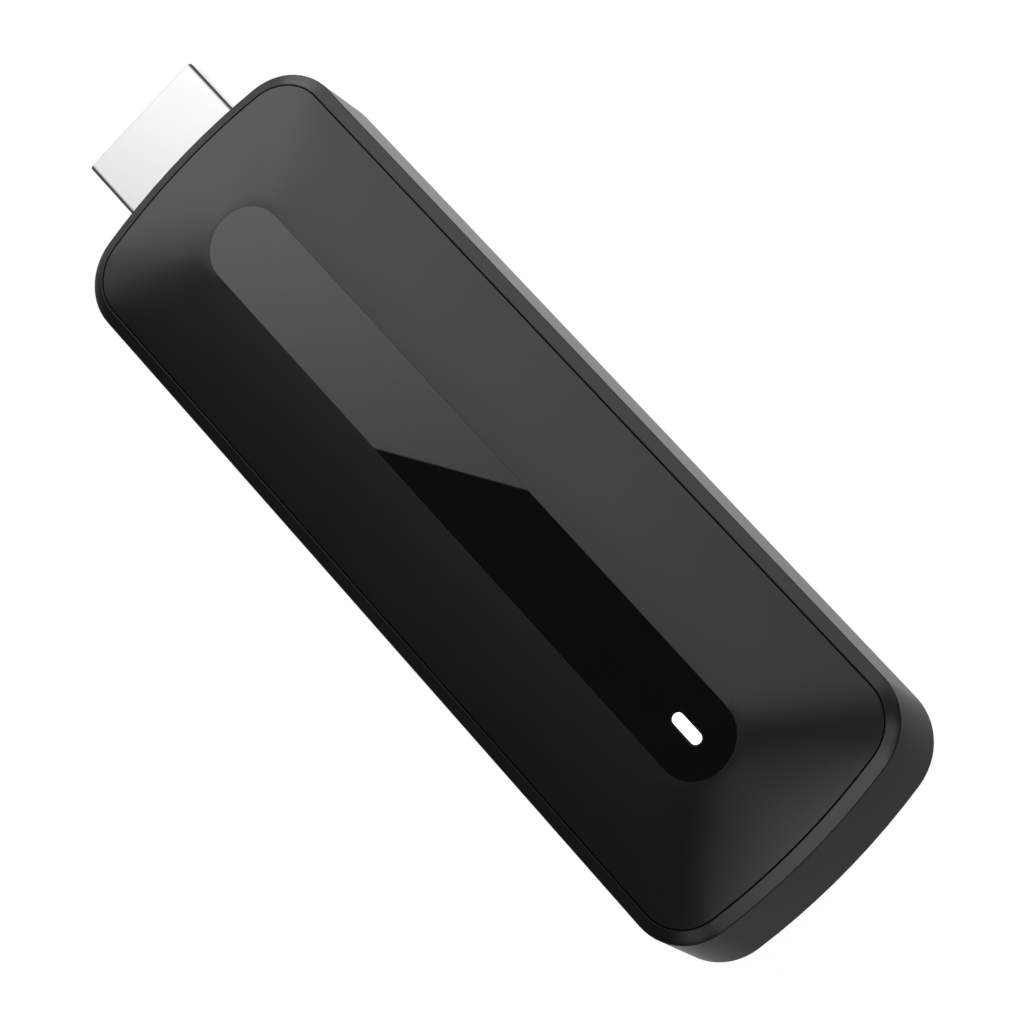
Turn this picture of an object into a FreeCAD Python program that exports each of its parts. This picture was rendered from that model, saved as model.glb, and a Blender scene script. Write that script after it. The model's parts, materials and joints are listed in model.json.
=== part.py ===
import FreeCAD, Part
import math
import os
import Sketcher

# Streaming media stick: a crowned casing on a display plug, with its electronics inside
#
# Frame: millimetres, X along the stick with the plug at -X, Z up. The origin is the middle of
# the whole stick, plug included, on the flat underside. Every sub-part is drawn from the middle
# of the casing and set into the frame by its own placement.

SIZES = {
    # Casing outline and heights
    "casing_length": 95.14,
    "casing_width": 30.2,
    "corner_radius": 6.0,
    "end_bow": 1.71,
    "rim_height": 8.78,
    "rim_rise": 0.62,
    "rim_lean": 1.12,
    "crown_rise": 2.59,
    # Casing walls
    "wall_thick": 1.8,
    "lip_thick": 1.2,
    "ledge_height": 7.0,
    "floor_thick": 1.2,
    "base_round": 0.5,
    "seam_gap": 0.1,
    "skirt_thick": 1.0,
    "roof_edge": 0.9,
    "roof_middle": 1.8,
    # Snap hooks between the cover and the housing
    "hook_inset": 9.2,
    "hook_width": 4.0,
    "hook_thick": 0.8,
    "hook_gap": 0.1,
    "hook_reach": 2.2,
    "hook_root": 1.7,
    "barb_out": 0.5,
    "barb_lead": 0.5,
    "barb_height": 0.8,
    "catch_gap": 0.1,
    "catch_depth": 0.6,
    # Inlay in the crown
    "inlay_length": 74.94,
    "inlay_width": 7.68,
    "inlay_shift": 0.15,
    "inlay_thick": 0.7,
    "inlay_gap": 0.04,
    "inlay_edge": 0.06,
    "glue_thick": 0.1,
    "glue_margin": 0.5,
    "slant_back": 1.95,
    "slant_run": 14.35,
    "slant_gap": 0.04,
    # Indicator lamp and its light pipe
    "lamp_inset": 5.08,
    "lamp_length": 3.63,
    "lamp_width": 1.16,
    "lamp_gap": 0.12,
    "pipe_flange": 0.8,
    "pipe_margin": 0.8,
    "pipe_foot_length": 2.6,
    "pipe_foot_width": 1.6,
    "pipe_clear": 0.3,
    "led_length": 3.0,
    "led_width": 1.4,
    "led_height": 0.8,
    # Display plug
    "plug_width": 13.9,
    "plug_height": 4.45,
    "plug_reach": 8.57,
    "plug_middle": 3.7,
    "plug_sheet": 0.35,
    "plug_shoulder": 1.7,
    "plug_taper": 1.3,
    "plug_round": 0.45,
    "plug_gap": 0.15,
    "plug_back": 6.4,
    "plug_ear_length": 2.5,
    "plug_ear_width": 2.4,
    "latch_length": 2.6,
    "latch_width": 1.5,
    "latch_round": 0.3,
    "latch_inset": 4.6,
    "latch_apart": 5.2,
    "insulator_play": 0.05,
    "insulator_inset": 0.6,
    "mouth_width": 11.0,
    "mouth_height": 2.1,
    "mouth_depth": 6.6,
    "contact_width": 0.35,
    "contact_thick": 0.2,
    "contact_proud": 0.12,
    "contact_pitch": 1.0,
    "contact_play": 0.02,
    "contact_inset": 0.5,
    "contact_tail": 2.2,
    "contact_step": 0.4,
    # Circuit board and its screws
    "board_thick": 1.0,
    "board_gap": 0.4,
    "notch_gap": 0.25,
    "screw_front": 14.5,
    "screw_back": 9.8,
    "screw_edge": 2.5,
    "screw_size": 1.6,
    "screw_depth": 1.6,
    "screw_head": 3.0,
    "head_height": 0.8,
    "recess_length": 1.6,
    "recess_width": 0.4,
    "recess_depth": 0.4,
    "thread_gap": 0.05,
    "board_hole": 2.0,
    "boss_width": 4.4,
    "boss_spare": 0.3,
    "rest_length": 4.0,
    "rest_overlap": 1.2,
    "rest_sunk": 0.4,
    # Chips on the board
    "chip_base": 0.3,
    "chip_step": 0.5,
    "soc_gap": 1.0,
    "soc_length": 14.0,
    "soc_height": 1.1,
    "memory_gap": 1.0,
    "memory_margin": 1.2,
    "memory_length": 8.0,
    "memory_width": 12.4,
    "memory_height": 1.0,
    "flash_x": 4.0,
    "flash_length": 13.0,
    "flash_width": 11.5,
    "flash_height": 1.0,
    "power_gap": 1.15,
    "power_y": -3.6,
    "power_length": 5.0,
    "power_height": 0.85,
    "coil_near": 1.3,
    "coil_far": 5.0,
    "coil_length": 3.0,
    "coil_height": 1.5,
    "coil_break": 0.4,
    "crystal_gap": 0.55,
    "crystal_margin": 0.25,
    "crystal_length": 3.2,
    "crystal_width": 2.5,
    "crystal_height": 0.8,
    "crystal_round": 0.6,
    "surge_gap": 0.8,
    "surge_pitch": 3.5,
    "surge_length": 1.0,
    "surge_width": 2.5,
    "surge_height": 0.6,
    "small_length": 1.0,
    "small_width": 0.5,
    "small_height": 0.5,
    "small_gap": 1.35,
    "small_pitch": 2.2,
    "bulk_length": 3.5,
    "bulk_width": 2.8,
    "bulk_height": 1.9,
    "bulk_gap": 0.3,
    "bulk_pitch": 4.6,
    # Shield, thermal pads and heat spreader
    "shield_gap": 0.38,
    "shield_height": 1.6,
    "shield_sheet": 0.2,
    "shield_flange": 0.8,
    "lid_sheet": 0.15,
    "lid_play": 0.03,
    "lid_skirt": 1.0,
    "soc_pad_side": 12.0,
    "pad_length": 24.0,
    "pad_width": 16.0,
    "pad_thick": 0.5,
    "spreader_length": 44.0,
    "spreader_width": 21.0,
    "spreader_thick": 1.0,
    "spreader_round": 2.0,
    "fin_thick": 1.0,
    "fin_clear": 0.15,
    "fin_pitch": 3.0,
    "fin_margin": 2.0,
    # Wireless module and antennas
    "wireless_x": 28.5,
    "wireless_length": 12.0,
    "wireless_board": 0.5,
    "wireless_can_step": 0.3,
    "wireless_can_height": 1.1,
    "wireless_sheet": 0.15,
    "wireless_chip_length": 5.0,
    "wireless_chip_height": 0.6,
    "antenna_inset": 8.1,
    "antenna_length": 3.8,
    "antenna_width": 6.0,
    "antenna_edge": 3.5,
    "antenna_height": 3.0,
    "antenna_sheet": 0.2,
    "antenna_foot": 1.2,
    # Infrared receiver
    "receiver_back": 7.0,
    "receiver_length": 5.0,
    "receiver_width": 4.6,
    "receiver_height": 3.6,
    "lens_width": 3.4,
    "lens_height": 1.7,
    "lens_round": 1.5,
    "receiver_sheet": 0.2,
    "receiver_play": 0.05,
    "receiver_can_height": 3.0,
    "receiver_corner": 0.6,
    # Power inlet in the long side
    "inlet_x": 18.0,
    "inlet_width": 8.94,
    "inlet_height": 3.26,
    "inlet_depth": 7.3,
    "inlet_sheet": 0.25,
    "inlet_inset": 0.5,
    "inlet_gap": 0.15,
    "inlet_notch_gap": 0.2,
    "inlet_base": 2.6,
    "inlet_play": 0.03,
    "tongue_width": 6.69,
    "tongue_thick": 0.7,
    "tongue_inset": 0.6,
    "pin_width": 0.25,
    "pin_thick": 0.15,
    "pin_pitch": 0.5,
    "pin_inset": 0.5,
    "pin_tail": 0.9,
    "pin_step": 0.15,
    "inlet_ear_length": 1.0,
    "inlet_ear_width": 1.4,
    "inlet_ear_front": 3.2,
    "inlet_ear_pitch": 2.2,
    # Reset button and its switch
    "button_x": 28.0,
    "button_height": 0.9,
    "button_length": 3.6,
    "button_width": 1.6,
    "button_gap": 0.12,
    "button_sunk": 0.1,
    "button_round": 0.1,
    "button_flange": 0.7,
    "button_margin": 0.65,
    "button_play": 0.05,
    "button_travel": 0.3,
    "nub_length": 1.8,
    "nub_width": 1.0,
    "switch_inset": 3.8,
    "switch_length": 4.6,
    "switch_depth": 3.4,
    "switch_height": 1.6,
    "plunger_length": 1.8,
    "plunger_width": 0.9,
    "plunger_out": 0.7,
    "plunger_in": 0.7,
    "plunger_play": 0.05,
    "plunger_spare": 0.05,
    "dome_thick": 0.08,
    "dome_length": 1.6,
    "dome_width": 0.8,
    "cover_sheet": 0.12,
    "cover_inset": 0.3,
    "cover_foot": 0.3,
    # Underside
    "vent_x": -16.0,
    "vent_length": 14.0,
    "vent_width": 1.1,
    "vent_pitch": 2.4,
    "vent_round": 0.45,
    "label_x": 22.0,
    "label_length": 34.0,
    "label_width": 17.0,
    "label_round": 1.5,
    "label_thick": 0.12,
    "label_recess": 0.2,
    "label_gap": 0.2,
}

# Counts of repeated pieces
UPPER_CONTACT_COUNT = 10
LOWER_CONTACT_COUNT = 9
PIN_COUNT = 12
VENT_COUNT = 8
FIN_COUNT = 7
SMALL_ROW_COUNT = 3
SMALL_COLUMN_COUNT = 6
TOP_SMALL_COUNT = 8
SURGE_COUNT = 3
MEMORY_COUNT = 2
BULK_COUNT = 2
INLET_EAR_COUNT = 2

# Share of the inlay's end radius at which its round end is split for the crown
END_SPLIT = 0.7

# Two places closer than this are the same place
NEAR = 1e-4

BOTH_SIDES = (-1, 1)

doc = FreeCAD.newDocument("MediaStick")
sheet = doc.addObject("Spreadsheet::Sheet", "Sizes")
for row, (name, number) in enumerate(SIZES.items(), 1):
    sheet.set("A%d" % row, name)
    sheet.set("B%d" % row, str(number))
    sheet.setAlias("B%d" % row, name)
doc.recompute()


class Size:
    """A length worked out from the sheet: its number, and the expression that gives it."""

    def __init__(self, number, text):
        self.number = number
        self.text = text

    def joined(self, sign, other, number):
        return Size(number, "(%s %s %s)" % (self.text, sign, other.text))

    def __add__(self, other):
        other = as_size(other)
        return self.joined("+", other, self.number + other.number)

    def __sub__(self, other):
        other = as_size(other)
        return self.joined("-", other, self.number - other.number)

    def __mul__(self, other):
        other = as_size(other)
        return self.joined("*", other, self.number * other.number)

    def __truediv__(self, other):
        other = as_size(other)
        return self.joined("/", other, self.number / other.number)

    def __radd__(self, other):
        return as_size(other) + self

    def __rsub__(self, other):
        return as_size(other) - self

    def __rmul__(self, other):
        return as_size(other) * self

    def __neg__(self):
        return as_size(0) - self


def as_size(item):
    """Return a plain number as a size of its own."""
    return item if isinstance(item, Size) else Size(float(item), repr(item))


def root(size):
    """Return the square root of a size."""
    return Size(math.sqrt(size.number), "sqrt(%s)" % size.text)


class SheetSizes:
    """The driving sizes, read from the sheet by name."""

    def __getattr__(self, alias):
        return Size(float(sheet.get(alias)), "Sizes." + alias)


s = SheetSizes()


def bind(item, path, size):
    """Tie a property of a document object to the sheet."""
    item.setExpression(path, as_size(size).text)


def row(middle, pitch, count):
    """Return evenly spaced places about a middle one."""
    return [middle + (i - (count - 1) / 2) * pitch for i in range(count)]


# Heights and places that several sub-parts share, from the middle of the casing
half_length = s.casing_length / 2
half_width = s.casing_width / 2
casing_middle = s.plug_reach / 2
bow_radius = (half_width * half_width + s.end_bow * s.end_bow) / (2 * s.end_bow)
rim_top = s.rim_height + s.rim_rise
crown_top = rim_top + s.crown_rise
roof_spring = rim_top - s.roof_edge
roof_under = crown_top - s.roof_middle
cover_edge = s.lip_thick + s.seam_gap
skirt_inner = cover_edge + s.skirt_thick
hook_outer = s.wall_thick + s.hook_gap
hook_inner = hook_outer + s.hook_thick
hook_bottom = s.ledge_height - s.hook_reach
board_inset = hook_inner + s.board_gap
board_bottom = s.plug_middle - s.board_thick / 2
board_top = s.plug_middle + s.board_thick / 2
board_side = half_width - board_inset
plug_tip = -half_length - s.plug_reach
plug_rear = s.plug_back - half_length
plug_bottom = s.plug_middle - s.plug_height / 2
plug_top = s.plug_middle + s.plug_height / 2
notch_end = plug_rear + s.notch_gap
contact_face = s.mouth_height / 2 - s.contact_proud
lamp_opening = (s.lamp_length + 2 * s.lamp_gap, s.lamp_width + 2 * s.lamp_gap)
lamp_x = s.inlay_shift + s.inlay_length / 2 - s.lamp_inset
receiver_x = lamp_x - s.receiver_back
inlay_bottom = crown_top - s.inlay_thick
recess_bottom = inlay_bottom - s.glue_thick
shield_top = board_top + s.shield_height
lid_top = shield_top + s.lid_sheet
spreader_bottom = lid_top + s.pad_thick
inlet_front = s.inlet_inset - half_width
inlet_rear = inlet_front + s.inlet_depth
pin_end = inlet_rear + s.pin_step + s.pin_tail
shield_end = s.inlet_x - s.inlet_width / 2 + s.inlet_sheet - s.inlet_ear_width - s.shield_gap
memory_end = shield_end - s.shield_sheet - s.memory_margin
soc_x = memory_end - MEMORY_COUNT * (s.memory_length + s.memory_gap) - s.soc_length / 2
shield_start = soc_x - s.soc_length / 2 - s.soc_gap - s.shield_sheet
shield_x = (shield_start + shield_end) / 2
shield_length = shield_end - shield_start
crystal_y = s.soc_length / 2 + s.crystal_gap + s.crystal_width / 2
shield_width = 2 * (crystal_y + s.crystal_width / 2 + s.crystal_margin + s.shield_sheet)
small_x = shield_start - s.small_gap - s.small_width / 2
power_x = small_x - s.small_width / 2 - s.power_gap - s.power_length / 2
button_z = board_top + s.button_height
flange_front = s.wall_thick + s.button_play - half_width
switch_front = s.switch_inset - half_width
plunger_front = switch_front - s.plunger_out
plunger_rear = switch_front + s.plunger_in
switch_pocket = plunger_rear + s.button_travel + s.plunger_spare + s.dome_thick
hook_places = (s.hook_inset - half_length, as_size(0), half_length - s.hook_inset)
screw_places = [
    (x, side * (board_side - s.screw_edge))
    for x in (s.screw_front - half_length, half_length - s.screw_back)
    for side in BOTH_SIDES
]

# Which way a sketch on each plane faces along the axis across it
NORMALS = {"XY": 1, "YZ": 1, "XZ": -1}


class Profile:
    """A sketch on one of its body's planes. Each of its loops follows the sheet."""

    def __init__(self, body, plane, at):
        self.plane = plane
        self.rules = []
        self.held = []
        self.sketch = body.newObject("Sketcher::SketchObject", body.Name + "_sketch")
        support = [item for item in body.Origin.OriginFeatures if item.Role == plane + "_Plane"]
        self.sketch.AttachmentSupport = [(support[0], "")]
        self.sketch.MapMode = "FlatFace"
        bind(self.sketch, "AttachmentOffset.Base.z", NORMALS[plane] * as_size(at))

    def hold(self, kind, *place, size):
        """Note a dimension, to be tied to the sheet."""
        size = as_size(size)
        self.held.append((len(self.rules), size))
        self.rules.append(Sketcher.Constraint(kind, *place, size.number))

    def rule(self, kind, *place):
        """Note a constraint that has no dimension."""
        self.rules.append(Sketcher.Constraint(kind, *place))

    def finished(self):
        """Give the sketch its constraints, all at once, and return it."""
        self.sketch.addConstraint(self.rules)
        for index, size in self.held:
            bind(self.sketch, "Constraints[%d]" % index, size)
        return self.sketch

    def pin(self, curve, end, x, y):
        """Hold one point of a curve at a place."""
        self.hold("DistanceX", -1, 1, curve, end, size=x)
        self.hold("DistanceY", -1, 1, curve, end, size=y)

    def add(self, curves):
        """Add curves and return the number of the first one."""
        return self.sketch.addGeometry(curves, False)[0]

    def polygon(self, points):
        """A closed loop of straight lines."""
        points = [(as_size(x), as_size(y)) for x, y in points]
        corners = [FreeCAD.Vector(x.number, y.number, 0) for x, y in points]
        count = len(points)
        first = self.add([Part.LineSegment(corners[i], corners[(i + 1) % count]) for i in range(count)])
        for i in range(count):
            self.rule("Coincident", first + i, 2, first + (i + 1) % count, 1)
        for i, (x, y) in enumerate(points):
            self.pin(first + i, 1, x, y)
        return self

    def box(self, x, y, length, width):
        """A rectangle about a middle point."""
        x, y, length, width = [as_size(item) for item in (x, y, length, width)]
        left, right = x - length / 2, x + length / 2
        low, high = y - width / 2, y + width / 2
        return self.polygon([(left, low), (right, low), (right, high), (left, high)])

    def circle(self, x, y, diameter):
        """A circle about a middle point."""
        x, y, diameter = [as_size(item) for item in (x, y, diameter)]
        middle = FreeCAD.Vector(x.number, y.number, 0)
        curve = self.add([Part.Circle(middle, FreeCAD.Vector(0, 0, 1), diameter.number / 2)])
        self.pin(curve, 3, x, y)
        self.hold("Radius", curve, size=diameter / 2)
        return self

    def slot(self, x, y, length, width):
        """A rectangle with full round ends, longer along the sketch's first axis."""
        x, y, length, width = [as_size(item) for item in (x, y, length, width)]
        radius = width / 2
        reach = length / 2 - radius
        left, right = x - reach, x + reach
        first = self.add([
            line(right, y + radius, left, y + radius),
            arc(left, y, radius, math.pi / 2, 3 * math.pi / 2),
            line(left, y - radius, right, y - radius),
            arc(right, y, radius, -math.pi / 2, math.pi / 2),
        ])
        for i in range(4):
            self.rule("Tangent", first + i, 2, first + (i + 1) % 4, 1)
        self.rule("Equal", first + 1, first + 3)
        self.pin(first + 1, 3, left, y)
        self.pin(first + 3, 3, right, y)
        self.hold("Radius", first + 1, size=radius)
        return self

    def rounded(self, x, y, length, width, radius):
        """A rectangle with rounded corners."""
        x, y, length, width, radius = [as_size(item) for item in (x, y, length, width, radius)]
        across, up = length / 2, width / 2
        inner_x, inner_y = across - radius, up - radius
        quarter = math.pi / 2
        first = self.add([
            line(x + inner_x, y + up, x - inner_x, y + up),
            arc(x - inner_x, y + inner_y, radius, quarter, 2 * quarter),
            line(x - across, y + inner_y, x - across, y - inner_y),
            arc(x - inner_x, y - inner_y, radius, 2 * quarter, 3 * quarter),
            line(x - inner_x, y - up, x + inner_x, y - up),
            arc(x + inner_x, y - inner_y, radius, -quarter, 0),
            line(x + across, y - inner_y, x + across, y + inner_y),
            arc(x + inner_x, y + inner_y, radius, 0, quarter),
        ])
        for i in range(8):
            self.rule("Tangent", first + i, 2, first + (i + 1) % 8, 1)
        for i, (side_x, side_y) in ((1, (-1, 1)), (3, (-1, -1)), (5, (1, -1)), (7, (1, 1))):
            self.pin(first + i, 3, x + side_x * inner_x, y + side_y * inner_y)
        for i in (1, 3, 5):
            self.rule("Equal", first + i, first + i + 2)
        self.hold("Radius", first + 1, size=radius)
        return self

    def outline(self, inset):
        """The casing's outline, moved inward: straight sides, bowed ends, round corners."""
        inset = as_size(inset)
        side = half_width - inset
        corner = s.corner_radius - inset
        bow = bow_radius - inset
        back = bow_radius - half_length
        corner_y = side - corner
        reach = math.sqrt((bow - corner).number ** 2 - corner_y.number ** 2)
        corner_x = as_size(reach - back.number)
        turn = math.atan2(corner_y.number, reach)
        quarter = math.pi / 2
        first = self.add([
            line(corner_x, side, -corner_x, side),
            arc(-corner_x, corner_y, corner, quarter, 2 * quarter - turn),
            arc(back, 0, bow, 2 * quarter - turn, 2 * quarter + turn),
            arc(-corner_x, -corner_y, corner, 2 * quarter + turn, 3 * quarter),
            line(-corner_x, -side, corner_x, -side),
            arc(corner_x, -corner_y, corner, -quarter, -turn),
            arc(-back, 0, bow, -turn, turn),
            arc(corner_x, corner_y, corner, turn, quarter),
        ])
        for i in range(8):
            self.rule("Tangent", first + i, 2, first + (i + 1) % 8, 1)
        for i in (1, 3, 5):
            self.rule("Equal", first + i, first + i + 2)
        self.rule("Equal", first + 2, first + 6)
        self.rule("Horizontal", first)
        self.rule("Horizontal", first + 4)
        self.pin(first + 2, 3, back, 0)
        self.pin(first + 6, 3, -back, 0)
        self.hold("Radius", first + 1, size=corner)
        self.hold("Radius", first + 2, size=bow)
        self.hold("DistanceY", -1, 1, first, 1, size=side)
        self.hold("DistanceY", -1, 1, first + 4, 1, size=-side)
        return self

    def plateau(self, margin):
        """The inlay's pill, with each round end in three arcs that match the outline's."""
        radius = s.inlay_width / 2 + margin
        reach = s.inlay_length / 2 - s.inlay_width / 2
        left, right = s.inlay_shift - reach, s.inlay_shift + reach
        split = radius * END_SPLIT
        turn = math.asin(END_SPLIT)
        quarter = math.pi / 2
        first = self.add([
            line(right, radius, left, radius),
            arc(left, 0, radius, quarter, 2 * quarter - turn),
            arc(left, 0, radius, 2 * quarter - turn, 2 * quarter + turn),
            arc(left, 0, radius, 2 * quarter + turn, 3 * quarter),
            line(left, -radius, right, -radius),
            arc(right, 0, radius, -quarter, -turn),
            arc(right, 0, radius, -turn, turn),
            arc(right, 0, radius, turn, quarter),
        ])
        for i in range(8):
            self.rule("Coincident", first + i, 2, first + (i + 1) % 8, 1)
        for i in (1, 2, 5, 6):
            self.rule("Coincident", first + i, 3, first + i + 1, 3)
        self.pin(first + 2, 3, left, 0)
        self.pin(first + 6, 3, right, 0)
        for i, x, y in ((0, right, radius), (1, left, radius), (4, left, -radius), (5, right, -radius)):
            self.hold("DistanceX", -1, 1, first + i, 1, size=x)
        self.hold("DistanceY", -1, 1, first, 1, size=radius)
        self.hold("DistanceY", -1, 1, first + 4, 1, size=-radius)
        for i, y in ((2, split), (3, -split), (6, -split), (7, split)):
            self.hold("DistanceY", -1, 1, first + i, 1, size=y)
        return self

    def half_inlay(self, side):
        """One part of the inlay, at the plug (-1) or the lamp (1): a round end, cut on the slant."""
        radius = s.inlay_width / 2
        round_x = s.inlay_shift + side * (s.inlay_length / 2 - radius)
        cut_x = s.inlay_shift - s.slant_back + side * s.slant_gap / 2
        high = (cut_x + s.slant_run / 2, radius)
        low = (cut_x - s.slant_run / 2, -radius)
        start, end = (low, high) if side > 0 else (high, low)
        turn = -side * math.pi / 2
        first = self.add([
            line(*start, round_x, start[1]),
            arc(round_x, 0, radius, turn, turn + math.pi),
            line(round_x, end[1], *end),
            line(*end, *start),
        ])
        self.rule("Tangent", first, 2, first + 1, 1)
        for i in (1, 2, 3):
            self.rule("Coincident", first + i, 2, first + (i + 1) % 4, 1)
        self.pin(first, 1, *start)
        self.pin(first, 2, round_x, start[1])
        self.pin(first + 2, 1, round_x, end[1])
        self.pin(first + 3, 1, *end)
        return self


def line(start_x, start_y, end_x, end_y):
    """A straight line between two places."""
    start = FreeCAD.Vector(as_size(start_x).number, as_size(start_y).number, 0)
    end = FreeCAD.Vector(as_size(end_x).number, as_size(end_y).number, 0)
    return Part.LineSegment(start, end)


def arc(x, y, radius, start, end):
    """An arc about a middle point, anticlockwise between two angles."""
    middle = FreeCAD.Vector(as_size(x).number, as_size(y).number, 0)
    circle = Part.Circle(middle, FreeCAD.Vector(0, 0, 1), as_size(radius).number)
    return Part.ArcOfCircle(circle, start, end)


nodes = []


class Piece:
    """One sub-part: a body with a label of its own, set into the stick's frame."""

    def __init__(self, label):
        self.body = doc.addObject("PartDesign::Body", label)
        self.body.Label = label
        self.body.AllowCompound = True
        bind(self.body, "Placement.Base.x", casing_middle)
        nodes.append(self.body)

    def on(self, plane, at=0):
        """Start a profile on one of the body's planes, moved along that plane's axis."""
        return Profile(self.body, plane, at)

    def add(self, kind, name):
        return self.body.newObject("PartDesign::" + kind, self.body.Name + "_" + name)

    def pad(self, profile, length, toward=1):
        """Add a prism that grows along the profile's axis, or against it."""
        feature = self.add("Pad", "pad")
        feature.Profile = profile.finished()
        feature.Reversed = toward * NORMALS[profile.plane] < 0
        bind(feature, "Length", length)
        return feature

    def pad_both(self, profile, length):
        """Add a prism that grows both ways from its profile."""
        feature = self.pad(profile, length)
        feature.Midplane = True
        return feature

    def pocket(self, profile, length, toward):
        """Cut a prism away, and make sure that it took something."""
        doc.recompute()
        before = self.body.Tip.Shape.Volume
        feature = self.add("Pocket", "pocket")
        feature.Profile = profile.finished()
        feature.Reversed = toward * NORMALS[profile.plane] > 0
        bind(feature, "Length", length)
        doc.recompute()
        if feature.Shape.Volume >= before:
            raise ValueError("a pocket in %s cuts nothing" % self.body.Label)
        return feature

    def loft(self, kind, first, second):
        """Add or take away the straight transition between two profiles."""
        feature = self.add(kind, "loft")
        feature.Profile = first.finished()
        feature.Sections = [second.finished()]
        feature.Ruled = True
        return feature

    def axis(self, name):
        """Return one of the body's axes."""
        return [item for item in self.body.Origin.OriginFeatures if item.Role == name + "_Axis"][0]

    def repeat(self, original, axis, step, count):
        """Repeat a feature in a row, at an even step along one of the body's axes."""
        feature = self.add("LinearPattern", "row")
        feature.Originals = [original]
        feature.Direction = (self.axis(axis), [""])
        feature.Occurrences = count
        bind(feature, "Length", step * (count - 1))
        self.body.Tip = feature
        return feature

    def repeat_both(self, original, step, count_x, count_y):
        """Repeat a feature in rows along X and Y, at one even step."""
        feature = self.repeat(original, "X", step, count_x)
        feature.Direction2 = (self.axis("Y"), [""])
        feature.Occurrences2 = count_y
        bind(feature, "Length2", step * (count_y - 1))
        return feature

    def soften(self, kind, test, **sizes):
        """Round or bevel the edges of the last feature that pass a test."""
        doc.recompute()
        base = self.body.Tip
        names = ["Edge%d" % (i + 1) for i, edge in enumerate(base.Shape.Edges) if test(edge)]
        feature = self.add(kind, kind.lower())
        feature.Base = (base, names)
        for path, size in sizes.items():
            bind(feature, path, size)
        return feature


def level(axis, place):
    """A test for edges that lie wholly at one place along an axis."""
    number = as_size(place).number

    def test(edge):
        box = edge.BoundBox
        low, high = getattr(box, axis + "Min"), getattr(box, axis + "Max")
        return abs(low - number) < NEAR and abs(high - number) < NEAR

    return test


def along(axis):
    """A test for straight edges along one axis."""

    def test(edge):
        box = edge.BoundBox
        spans = {"X": box.XLength, "Y": box.YLength, "Z": box.ZLength}
        own = spans.pop(axis)
        return own > NEAR and max(spans.values()) < NEAR

    return test


def lower_housing():
    """The tray: floor, walls, rim band, bosses, catches and openings."""
    piece = Piece("lower_housing")
    piece.pad(piece.on("XY").outline(0), rim_top)
    rim = piece.soften("Chamfer", level("Z", rim_top), Size=s.rim_rise, Size2=s.rim_lean)
    rim.ChamferType = "Two distances"
    piece.soften("Fillet", level("Z", 0), Radius=s.base_round)
    piece.pocket(piece.on("XY", rim_top).outline(s.wall_thick), rim_top - s.floor_thick, -1)
    piece.pocket(piece.on("XY", rim_top).outline(s.lip_thick), rim_top - s.ledge_height, -1)

    posts = piece.on("XY", s.floor_thick)
    for x, y in screw_places:
        posts.circle(x, y, s.boss_width)
    inner, outer = board_side - s.rest_overlap, half_width - s.wall_thick + s.rest_sunk
    for side in BOTH_SIDES:
        posts.box(0, side * (inner + outer) / 2, s.rest_length, outer - inner)
    piece.pad(posts, board_bottom - s.floor_thick)
    holes = piece.on("XY", board_bottom)
    for x, y in screw_places:
        holes.circle(x, y, s.screw_size + 2 * s.thread_gap)
    piece.pocket(holes, s.screw_depth + s.boss_spare, -1)

    mouth = plug_section(piece.on("YZ", -half_length), -s.plug_gap)
    piece.pocket(mouth, s.wall_thick + s.end_bow, 1)
    side_mouths = piece.on("XZ", -half_width)
    side_mouths.slot(s.inlet_x, s.plug_middle, s.inlet_width + 2 * s.inlet_gap,
                     s.inlet_height + 2 * s.inlet_gap)
    side_mouths.slot(s.button_x, button_z, s.button_length + 2 * s.button_gap,
                     s.button_width + 2 * s.button_gap)
    piece.pocket(side_mouths, s.wall_thick + s.hook_gap, 1)

    height = s.barb_height + 2 * s.catch_gap
    for side in BOTH_SIDES:
        catches = piece.on("XZ", side * (half_width - s.wall_thick))
        for x in hook_places:
            catches.box(x, hook_bottom - s.catch_gap + height / 2, s.hook_width + 2 * s.catch_gap, height)
        piece.pocket(catches, s.catch_depth, side)

    vent_x = row(s.vent_x, s.vent_pitch, VENT_COUNT)[0]
    vent = piece.on("XY").rounded(vent_x, 0, s.vent_width, s.vent_length, s.vent_round)
    first = piece.pocket(vent, s.floor_thick, 1)
    piece.repeat(first, "X", s.vent_pitch, VENT_COUNT)
    recess = piece.on("XY").rounded(s.label_x, 0, s.label_length + 2 * s.label_gap,
                                    s.label_width + 2 * s.label_gap, s.label_round + s.label_gap)
    piece.pocket(recess, s.label_recess, 1)


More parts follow.
